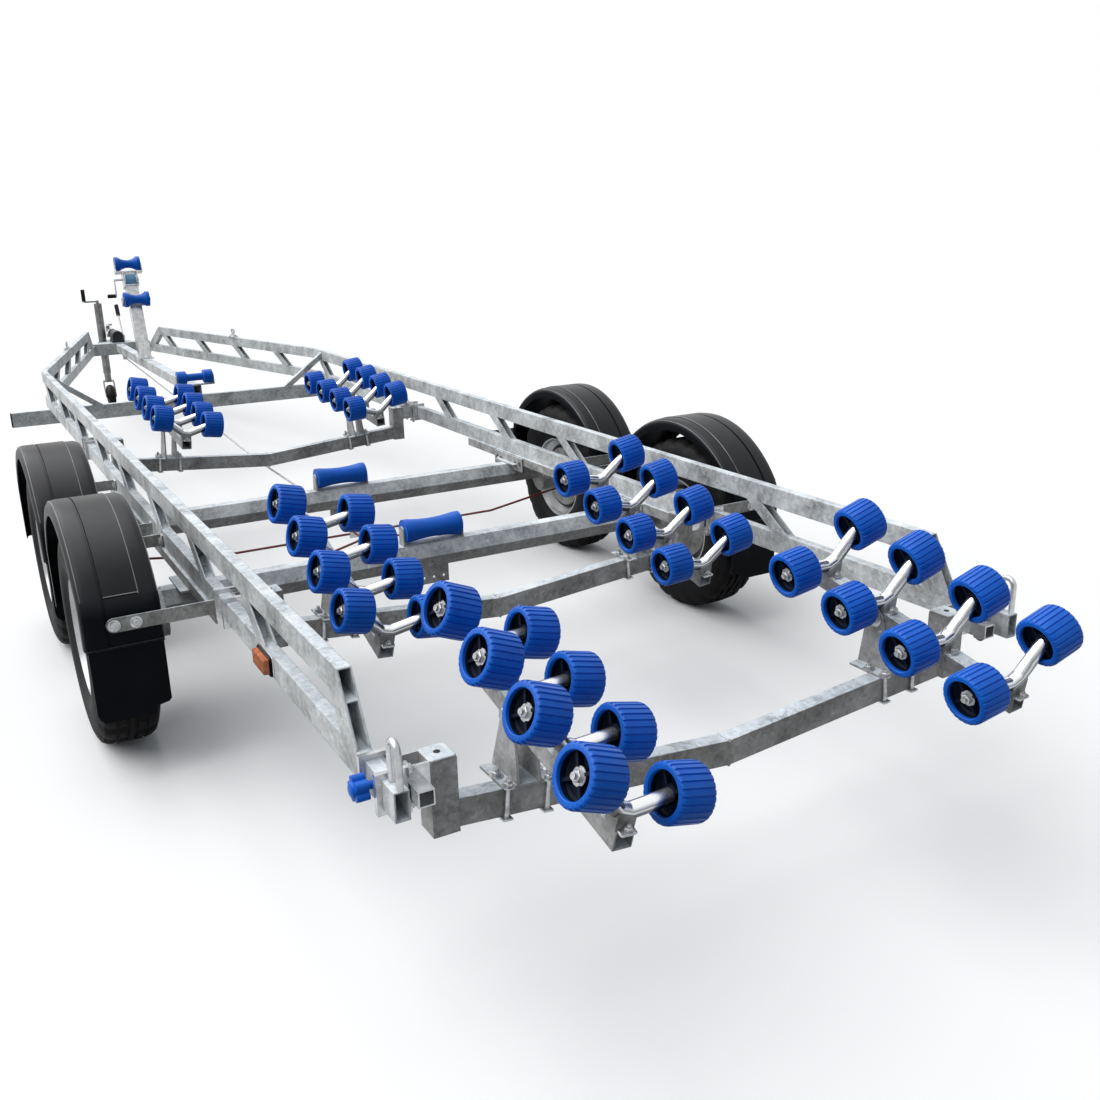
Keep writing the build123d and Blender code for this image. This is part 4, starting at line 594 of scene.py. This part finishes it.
def cradle_bracket(bm, row, side):
    """A base plate on the V beam, two ears beside the arm, the pivot bolt and the tail's stop bolt."""
    plane, rise, pitch = cradle_plane(row, side), row[4], math.radians(row[5])
    rounded_plate(bm, BRACKET_BASE, BRACKET_BASE, -rise, -rise + EAR_T, 0.006, plane)
    half, foot = BRACKET_BASE / 2, EAR_T - rise
    start = math.atan2(foot, half) + math.acos(EAR_R / math.hypot(half, foot))
    outline = [(-half, foot), (half, foot)]
    for step in range(17):
        angle = start + (math.pi - 2 * start) * step / 16
        outline.append((EAR_R * math.cos(angle), EAR_R * math.sin(angle)))
    face = ARM_HALF + 0.001
    for low, high in ((-face - EAR_T, -face), (face, face + EAR_T)):
        prism(bm, outline, low, high, plane @ X_FROM_Z)
    reach = face + EAR_T + 0.008
    prism(bm, polygon_outline(PIVOT_R, 24), -reach, reach, plane @ X_FROM_Z)
    stop_y = STOP_DROP * math.sin(pitch) - STOP_STATION * math.cos(pitch)
    stop_z = -STOP_STATION * math.sin(pitch) - STOP_DROP * math.cos(pitch)
    prism(bm, [(stop_y + y, stop_z + z) for y, z in polygon_outline(STOP_R, 20)], -reach, reach, plane @ X_FROM_Z)


bm = bmesh.new()
for _, side in SIDES:
    cradle_bracket(bm, CRADLE_ROWS[2], side)
piece("front_cradle_brackets", bm, "galvanised", "chassis")


# V beam ends: post caps, clamp nuts, weld beads

caps, plugs, nuts, welds = bmesh.new(), bmesh.new(), bmesh.new(), bmesh.new()
U_BOLT_Y, U_BOLT_IN = POST_D / 2 + 0.012, RAIL_X - TUBE_W / 2 - 0.008 - 0.012
for row in CRADLE_ROWS:
    for _, side in SIDES:
        top = Matrix.Translation((side * POST_X, row[1], POST_TOP))
        rounded_plate(caps, POST_W + 0.001, POST_D + 0.001, 0.0, 0.005, 0.007, top)
        lathe(plugs, ((0.0048, 0.0072), (0.0060, 0.0066), (0.0064, 0.0050), (0.0066, 0.0001)), 20,
              top @ Matrix.Rotation(-math.pi / 2, 4, "Y"))
        for dy in (-U_BOLT_Y, U_BOLT_Y):
            for dz in (-TUBE_H / 2 - 0.006, TUBE_H / 2 + 0.006):
                seat = Matrix.Translation((side * U_BOLT_IN, row[1] + dy, LOWER_Z + dz))
                nut(nuts, seat @ Matrix.Rotation(-side * math.pi / 2, 4, "Y"), 0.019, 0.010, 0.0055, 0.008)
    centre = V_TOP - V_H / 2 / math.cos(SLOPE)
    reach = POST_X - POST_W / 2
    for x in (-reach, 0.0, reach):
        z = centre + abs(x) * math.tan(SLOPE)
        bead(welds, x, row[1], z, V_D / 2, V_H / 2 / math.cos(SLOPE))
piece("post_caps", caps, "galvanised", "chassis")
piece("post_plugs", plugs, "black_rubber", "chassis")
piece("clamp_nuts", nuts, "fastener", "chassis")
piece("beam_welds", welds, "galvanised", "chassis")


# Tyres and wheel nuts

TREAD_TURNS = 144


def tyre(bm, place):
    half, crown = TYRE_W / 2, TYRE_R
    side = [(RIM_HALF, BEAD_R), (half - 0.010, BEAD_R + 0.014), (half - 0.0045, BEAD_R + 0.026),
            (half - 0.0025, BEAD_R + 0.030), (half - 0.0005, BEAD_R + 0.050), (half, BEAD_R + 0.070),
            (half - 0.001, BEAD_R + 0.090), (half - 0.004, BEAD_R + 0.108), (half - 0.009, crown - 0.026)]
    tread = [(half - 0.017, crown - 0.011), (half - 0.030, crown - 0.003), (half - 0.044, crown - 0.001),
             (half - 0.045, crown - 0.008), (half - 0.053, crown - 0.008), (half - 0.054, crown),
             (0.017, crown), (0.016, crown - 0.008), (0.007, crown - 0.008), (0.006, crown)]
    right = side + tread
    profile = right + [(-a, r) for a, r in right[::-1]]
    blocks = set(range(len(side) - 1, len(side) + 3)) | set(range(len(side) + 5, len(side) + 7))
    last = len(profile) - 1

    def sipe(index, row):
        mirrored = min(row, last - row)
        phase = (index + (3 if row > last / 2 else 0)) % 6
        return -0.007 if mirrored in blocks and phase in (0, 1) else 0.0

    lathe(bm, profile, TREAD_TURNS, place, closed=True, wobble=sipe)


for side_name, side in SIDES:
    for axle, y in WHEELS:
        place = Matrix.Translation((side * WHEEL_X, y, TYRE_R))
        bm = bmesh.new()
        tyre(bm, place)
        shown = piece(f"treaded_tyre_{axle}_{side_name}", bm, "tyre_rubber", f"wheel_{axle}_{side_name}", 28)
        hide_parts(f"tyre_{axle}_{side_name}")
        bm = bmesh.new()
        for index in range(5):
            angle = 2 * math.pi * index / 5 + 0.3
            seat = place @ Matrix.Translation((side * DISC_OUT, 0.062 * math.cos(angle), 0.062 * math.sin(angle)))
            nut(bm, seat @ Matrix.Rotation(side * math.pi / 2, 4, "Y"), 0.021, 0.018, 0.006, 0.004)
        piece(f"wheel_nuts_{axle}_{side_name}", bm, "fastener", f"wheel_{axle}_{side_name}")


# Mudguards: a creased shell swept over the wheel, with a flap below its rear lip

PANEL_LOW_Z, SHELL_LOW_Z = 0.545, 0.408
W = GUARD_W / 2
# Across the guard from outboard to inboard: place, depth below the crown, whether it is the panel
GUARD_SECTION = (
    (W - 0.0015, GUARD_LIP, 0), (W, GUARD_LIP - 0.002, 0), (W, 0.020, 0), (W - 0.0015, 0.013, 0),
    (W - 0.006, 0.006, 0), (W - 0.013, 0.002, 0), (W - 0.022, 0.0, 0), (0.0455, 0.0, 0), (0.0440, 0.0045, 0),
    (0.0400, 0.0045, 0), (0.0385, 0.0, 1), (-0.0490, 0.0, 1), (-0.0515, 0.0028, 0), (-W + 0.022, 0.0030, 0),
    (-W + 0.013, 0.0048, 0), (-W + 0.006, 0.0085, 0), (-W + 0.0015, 0.0150, 0), (-W, 0.022, 0),
    (-W, GUARD_LIP, 0), (-W + GUARD_SKIN, GUARD_LIP, 0), (-W + GUARD_SKIN, 0.024, 0),
    (-W + 0.012, 0.0110, 0), (W - 0.012, 0.0090, 0), (W - GUARD_SKIN, 0.021, 0), (W - GUARD_SKIN, GUARD_LIP, 0),
)


def guard_path():
    """Places along the guard's outer line from rear to front: y, z and the outward direction."""
    centre = GUARD_TOP - GUARD_R
    inner = GUARD_R - GUARD_CORNER
    lean = math.acos((GUARD_HALF - GUARD_CORNER) / inner)
    bend_z = centre + inner * math.sin(lean)
    path = []
    for z in (SHELL_LOW_Z, SHELL_LOW_Z + 0.004, 0.44, 0.47):
        path.append((-GUARD_HALF, z, math.pi))
    for step in range(9):
        angle = math.pi - lean * step / 8
        path.append((-GUARD_HALF + GUARD_CORNER + GUARD_CORNER * math.cos(angle),
                     bend_z + GUARD_CORNER * math.sin(angle), angle))
    for step in range(1, 36):
        angle = math.pi - lean - (math.pi - 2 * lean) * step / 36
        path.append((GUARD_R * math.cos(angle), centre + GUARD_R * math.sin(angle), angle))
    for step in range(9):
        angle = lean * (8 - step) / 8
        path.append((GUARD_HALF - GUARD_CORNER + GUARD_CORNER * math.cos(angle),
                     bend_z + GUARD_CORNER * math.sin(angle), angle))
    for z in (0.47, 0.42, GUARD_FRONT_LOW + 0.004, GUARD_FRONT_LOW):
        path.append((GUARD_HALF, z, 0.0))
    return path


def with_panel_edge(path):
    """The path with two close places where the panel ends above the rear strap, and whether each is on it."""
    out, inside = [], False
    for place, after in zip(path, path[1:] + path[-1:]):
        out.append((*place, inside))
        if not inside and after[1] > PANEL_LOW_Z + 0.003:
            for z in (PANEL_LOW_Z, PANEL_LOW_Z + 0.003):
                t = (z - place[1]) / (after[1] - place[1])
                out.append((*(a + (b - a) * t for a, b in zip(place, after)), inside))
                inside = True
    return out


def guard(bm, side, y):
    rings = []
    for py, pz, angle, on_panel in with_panel_edge(guard_path()):
        ring = []
        for x, depth, panel in GUARD_SECTION:
            inward = depth + (0.0028 if panel and not on_panel else 0.0)
            ring.append(bm.verts.new((side * (WHEEL_X + x), y + py - inward * math.cos(angle),
                                      pz - inward * math.sin(angle))))
        rings.append(ring)
    count = len(GUARD_SECTION)
    for here, there in zip(rings, rings[1:]):
        for k in range(count):
            nxt = (k + 1) % count
            bm.faces.new((here[k], here[nxt], there[nxt], there[k]))
    bm.faces.new(rings[0])
    bm.faces.new(rings[-1][::-1])
    back = y - GUARD_HALF
    outline = ((W - 0.008, SHELL_LOW_Z + 0.020), (W - 0.008, GUARD_REAR_LOW + 0.030),
               (W - 0.014, GUARD_REAR_LOW + 0.012), (W - 0.026, GUARD_REAR_LOW),
               (-W + 0.052, GUARD_REAR_LOW), (-W + 0.040, GUARD_REAR_LOW + 0.020),
               (-W + 0.012, GUARD_REAR_LOW + 0.026), (-W + 0.005, GUARD_REAR_LOW + 0.034),
               (-W + 0.005, SHELL_LOW_Z + 0.020))
    flap = Matrix(((side, 0, 0, side * WHEEL_X), (0, 0, 1, back), (0, 1, 0, 0), (0, 0, 0, 1)))
    prism(bm, outline, 0.008, 0.013, flap)
    lip = [Vector((side * (WHEEL_X + x), back + 0.003, SHELL_LOW_Z + 0.002)) for x in (-W + 0.004, 0.0, W - 0.004)]
    tube(bm, lip, 0.0042, 10)


bm = bmesh.new()
for _, side in SIDES:
    for _, y in WHEELS:
        guard(bm, side, y)
shown = piece("creased_mudguards", bm, "black_plastic", "chassis", 24)
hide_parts("mudguards")

# Painted highlights: thin pale beads along each guard's inner corner, panel edge and outer corner, and across the
# foot of the panel
bm = bmesh.new()
for _, side in SIDES:
    for _, y in WHEELS:
        places = with_panel_edge(guard_path())
        for x, depth in ((-W + 0.0035, 0.0112), (-0.0502, 0.0012), (W - 0.0090, 0.0040)):
            line = [Vector((side * (WHEEL_X + x), y + py - depth * math.cos(angle), pz - depth * math.sin(angle)))
                    for py, pz, angle, _ in places if pz > PANEL_LOW_Z - 0.001]
            tube(bm, line, 0.0017, 8)
        py, pz = next((py, pz) for py, pz, _, on_panel in places if on_panel)
        foot = [Vector((side * (WHEEL_X + x), y + py + 0.0008, pz)) for x in (-0.0502, 0.0, 0.0385)]
        tube(bm, foot, 0.0017, 8)
piece("guard_edge_highlights", bm, "painted_edge_highlight", "chassis")

bm = bmesh.new()
for _, side in SIDES:
    for _, y in WHEELS:
        for end in (-1, 1):
            face = y + end * (GUARD_HALF + STRAP_T)
            for x in (WHEEL_X + W - 0.080, WHEEL_X + W - 0.135):
                seat = z_towards((side * x, face, STRAP_Z), (0, end, 0))
                nut(bm, seat, 0.019, 0.008, 0.005, 0.0)
            rail_face = RAIL_X + TUBE_W / 2 + STRAP_T
            seat = z_towards((side * rail_face, y + end * (GUARD_HALF - 0.012), STRAP_Z), (side, 0, 0))
            nut(bm, seat, 0.019, 0.009, 0.005, 0.0)
piece("strap_bolts", bm, "fastener", "chassis")


# Eyes, lashing loops, lamps and knobs

def ring_eye(bm, place, outer, inner, half):
    """A flat ring about local X with softened edges."""
    soft = 0.0015
    lathe(bm, ((-half, inner + soft), (-half, outer - soft), (-half + soft, outer), (half - soft, outer),
               (half, outer - soft), (half, inner + soft), (half - soft, inner), (soft - half, inner)), 28, place,
          closed=True)


bm = bmesh.new()
for _, side in SIDES:
    eye_y = RAIL_BEND_Y + EYE_STATION * math.cos(math.atan(RAIL_TURN))
    eye_x = RAIL_X - (eye_y - RAIL_BEND_Y) * RAIL_TURN
    along = Matrix.Translation((side * eye_x, eye_y, UPPER_TOP))
    along = along @ Matrix.Rotation(side * math.atan(RAIL_TURN), 4, "Z")
    ring_eye(bm, along @ Matrix.Translation((0, 0, EYE_UP - 0.022)), 0.022, 0.011, 0.005)
    rounded_plate(bm, 0.040, 0.070, -0.0005, 0.010, 0.006, along)
    rounded_plate(bm, 0.010, 0.034, 0.006, 0.024, 0.004, along)
    for end in (-1, 1):
        nut(bm, along @ Matrix.Translation((0, end * 0.026, 0.010)), 0.016, 0.008, 0.005, 0.0)
    half, rod, top = 0.019, 0.0072, LOWER_TOP + 0.0878
    loop = [Vector((side * RAIL_X, RAIL_REAR_Y + 0.026 - half, LOWER_TOP))]
    for step in range(13):
        angle = math.pi * step / 12
        loop.append(Vector((side * RAIL_X, RAIL_REAR_Y + 0.026 - half * math.cos(angle),
                            top - half + half * math.sin(angle))))
    loop.append(Vector((side * RAIL_X, RAIL_REAR_Y + 0.026 + half, LOWER_TOP)))
    tube(bm, loop, rod, 16)
shown = piece("eyes_and_loops", bm, "zinc", "chassis")
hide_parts("tie_down_eyes")

LAMP_Y, LAMP_L, LAMP_H = -3.262, 0.100, 0.042


def lamp_face(side):
    """The lower rail's outer face at a lamp: x along the rail, y up, z outboard."""
    face = side * (RAIL_X + TUBE_W / 2)
    return Matrix(((0, 0, side, face), (1, 0, 0, LAMP_Y), (0, 1, 0, LOWER_Z), (0, 0, 0, 1)))


bm = bmesh.new()
for _, side in SIDES:
    rounded_plate(bm, LAMP_L + 0.010, LAMP_H + 0.008, 0.0002, 0.009, 0.008, lamp_face(side))
piece("lamp_bases", bm, "black_plastic", "chassis")
bm = bmesh.new()
for _, side in SIDES:
    rounded_plate(bm, LAMP_L + 0.018, LAMP_H + 0.014, 0.0001, 0.003, 0.009, lamp_face(side))
piece("lamp_backs", bm, "zinc", "chassis")

bm = bmesh.new()
for _, side in SIDES:
    knob = Matrix.Translation((side * (RAIL_X + TUBE_W / 2 + 0.040), CRADLE_ROWS[0][1], LOWER_Z))
    lathe(bm, ((0.0, 0.0165), (side * 0.004, 0.0150), (side * 0.006, 0.0110), (side * 0.006, 0.0001)), 24, knob)
piece("knob_bosses", bm, "blue_plastic", "chassis")


# Winch strap and dark grips

bm = bmesh.new()
WINCH_UP, POST_LEAN = 0.576, math.radians(20)
drum = Matrix.Translation((0, 2.704 + WINCH_UP * math.sin(POST_LEAN), LOWER_TOP + WINCH_UP * math.cos(POST_LEAN)))
lathe(bm, ((-0.0362, 0.0345), (-0.0340, 0.0372), (0.0340, 0.0372), (0.0362, 0.0345)), 40, drum,
      wobble=lambda index, row: 0.0006 * math.sin(index * 1.7))
piece("winch_strap", bm, "blue_web", "winch_drum")


def grip(bm, start, end, radius):
    """A ribbed grip over a rod's end."""
    heading = Vector(end) - Vector(start)
    turn = heading.to_track_quat("X", "Z").to_matrix().to_4x4()
    long = heading.length
    profile = [(0.0, radius * 0.86)]
    for index in range(8):
        profile.append((long * (index + 0.3) / 8, radius))
        profile.append((long * (index + 0.9) / 8, radius * 0.93))
    profile.append((long, radius * 0.8))
    rings = lathe(bm, profile, 20, Matrix.Translation(start) @ turn)
    bm.faces.new([ring[-1] for ring in rings])
    bm.faces.new([ring[0] for ring in rings][::-1])


JACK_X, JACK_Y, CRANK_R = -0.090, 4.018, 0.100
bm = bmesh.new()
grip(bm, (JACK_X - CRANK_R, JACK_Y, 0.846), (JACK_X - CRANK_R, JACK_Y, 0.938), 0.0155)
lever = Vector((0, 0.55, 1)).normalized()
foot = Vector((0.050, 3.798 + 0.075, LOWER_TOP + 0.024))
grip(bm, foot + lever * 0.206, foot + lever * 0.302, 0.0165)
piece("black_grips", bm, "black_rubber", "chassis")
bm = bmesh.new()
winch_axis = Vector((-0.104 - 0.008, drum.translation.y, drum.translation.z - 0.110))
grip(bm, winch_axis, winch_axis - Vector((0.056, 0, 0)), 0.0142)
piece("winch_grip", bm, "black_rubber", "winch_drum")


# Floor, light and camera

FLOOR_BOUNCE, FLOOR_SEEN, FLOOR_REACH, FLOOR_Z = 0.16, 0.93, 150.0, -0.001


def seen(nodes, links):
    """One where a ray comes straight from the camera, a mirror or through glass."""
    ray = nodes.new("ShaderNodeLightPath")
    total = ray.outputs["Is Camera Ray"]
    for kind in ("Is Glossy Ray", "Is Transmission Ray"):
        both = nodes.new("ShaderNodeMath")
        both.operation = "ADD"
        both.use_clamp = True
        links.new(total, both.inputs[0])
        links.new(ray.outputs[kind], both.inputs[1])
        total = both.outputs["Value"]
    return total


def floor_material():
    mat, nodes, links, shader = principled("pale_floor")
    tone = nodes.new("ShaderNodeMixRGB")
    tone.inputs["Color1"].default_value = (FLOOR_BOUNCE, FLOOR_BOUNCE, FLOOR_BOUNCE, 1)
    tone.inputs["Color2"].default_value = (FLOOR_SEEN, FLOOR_SEEN, FLOOR_SEEN, 1)
    links.new(seen(nodes, links), tone.inputs["Fac"])
    links.new(tone.outputs["Color"], shader.inputs["Base Color"])
    shader.inputs["Roughness"].default_value = 0.9
    shader.inputs["Specular IOR Level"].default_value = 0.0
    return mat


bm = bmesh.new()
bm.faces.new([bm.verts.new((x * FLOOR_REACH, y * FLOOR_REACH, FLOOR_Z))
              for x, y in ((-1, -1), (1, -1), (1, 1), (-1, 1))])
mesh = bpy.data.meshes.new("floor")
bm.to_mesh(mesh)
bm.free()
mesh.materials.append(floor_material())
floor = bpy.data.objects.new("floor", mesh)
bpy.context.scene.collection.objects.link(floor)

world = bpy.data.worlds.new("studio")
bpy.context.scene.world = world
world.use_nodes = True
nodes, links = world.node_tree.nodes, world.node_tree.links
sky = nodes["Background"]
sky.inputs["Color"].default_value = (0.90, 0.95, 1.0, 1)
sky.inputs["Strength"].default_value = 0.34
white = nodes.new("ShaderNodeBackground")
white.inputs["Color"].default_value = (1, 1, 1, 1)
white.inputs["Strength"].default_value = 1.0
shown_world = nodes.new("ShaderNodeMixShader")
links.new(seen(nodes, links), shown_world.inputs[0])
links.new(sky.outputs["Background"], shown_world.inputs[1])
links.new(white.outputs["Background"], shown_world.inputs[2])
links.new(shown_world.outputs["Shader"], nodes["World Output"].inputs["Surface"])


def sun(name, towards, strength, spread):
    data = bpy.data.lights.new(name, "SUN")
    data.energy = strength
    data.angle = math.radians(spread)
    obj = bpy.data.objects.new(name, data)
    obj.location = (0, 0, 6)
    obj.rotation_euler = Vector(towards).to_track_quat("-Z", "Y").to_euler()
    bpy.context.scene.collection.objects.link(obj)


sun("sky_left_ahead", (0.62, -0.42, -1.0), 3.2, 85)

CAMERA_PLACE = Vector((-1.420, -5.703, 1.498))
CAMERA_YAW, CAMERA_PITCH, CAMERA_ROLL = (math.radians(a) for a in (29.4024, 17.371, -1.3366))
PHOTO_SIDE, PHOTO_FOCAL = 1100.0, 1100.91

ahead = Vector((math.sin(CAMERA_YAW) * math.cos(CAMERA_PITCH), math.cos(CAMERA_YAW) * math.cos(CAMERA_PITCH),
                -math.sin(CAMERA_PITCH)))
level = Vector((math.cos(CAMERA_YAW), -math.sin(CAMERA_YAW), 0))
above = level.cross(ahead)
right = level * math.cos(CAMERA_ROLL) + above * math.sin(CAMERA_ROLL)
up = above * math.cos(CAMERA_ROLL) - level * math.sin(CAMERA_ROLL)
data = bpy.data.cameras.new("camera")
data.sensor_width = 36.0
data.lens = 36.0 * PHOTO_FOCAL / PHOTO_SIDE
data.clip_start, data.clip_end = 0.05, 200.0
camera = bpy.data.objects.new("camera", data)
camera.matrix_world = Matrix.Translation(CAMERA_PLACE) @ Matrix((right, up, -ahead)).transposed().to_4x4()
bpy.context.scene.collection.objects.link(camera)
bpy.context.scene.camera = camera
bpy.context.scene.view_settings.view_transform = "Standard"
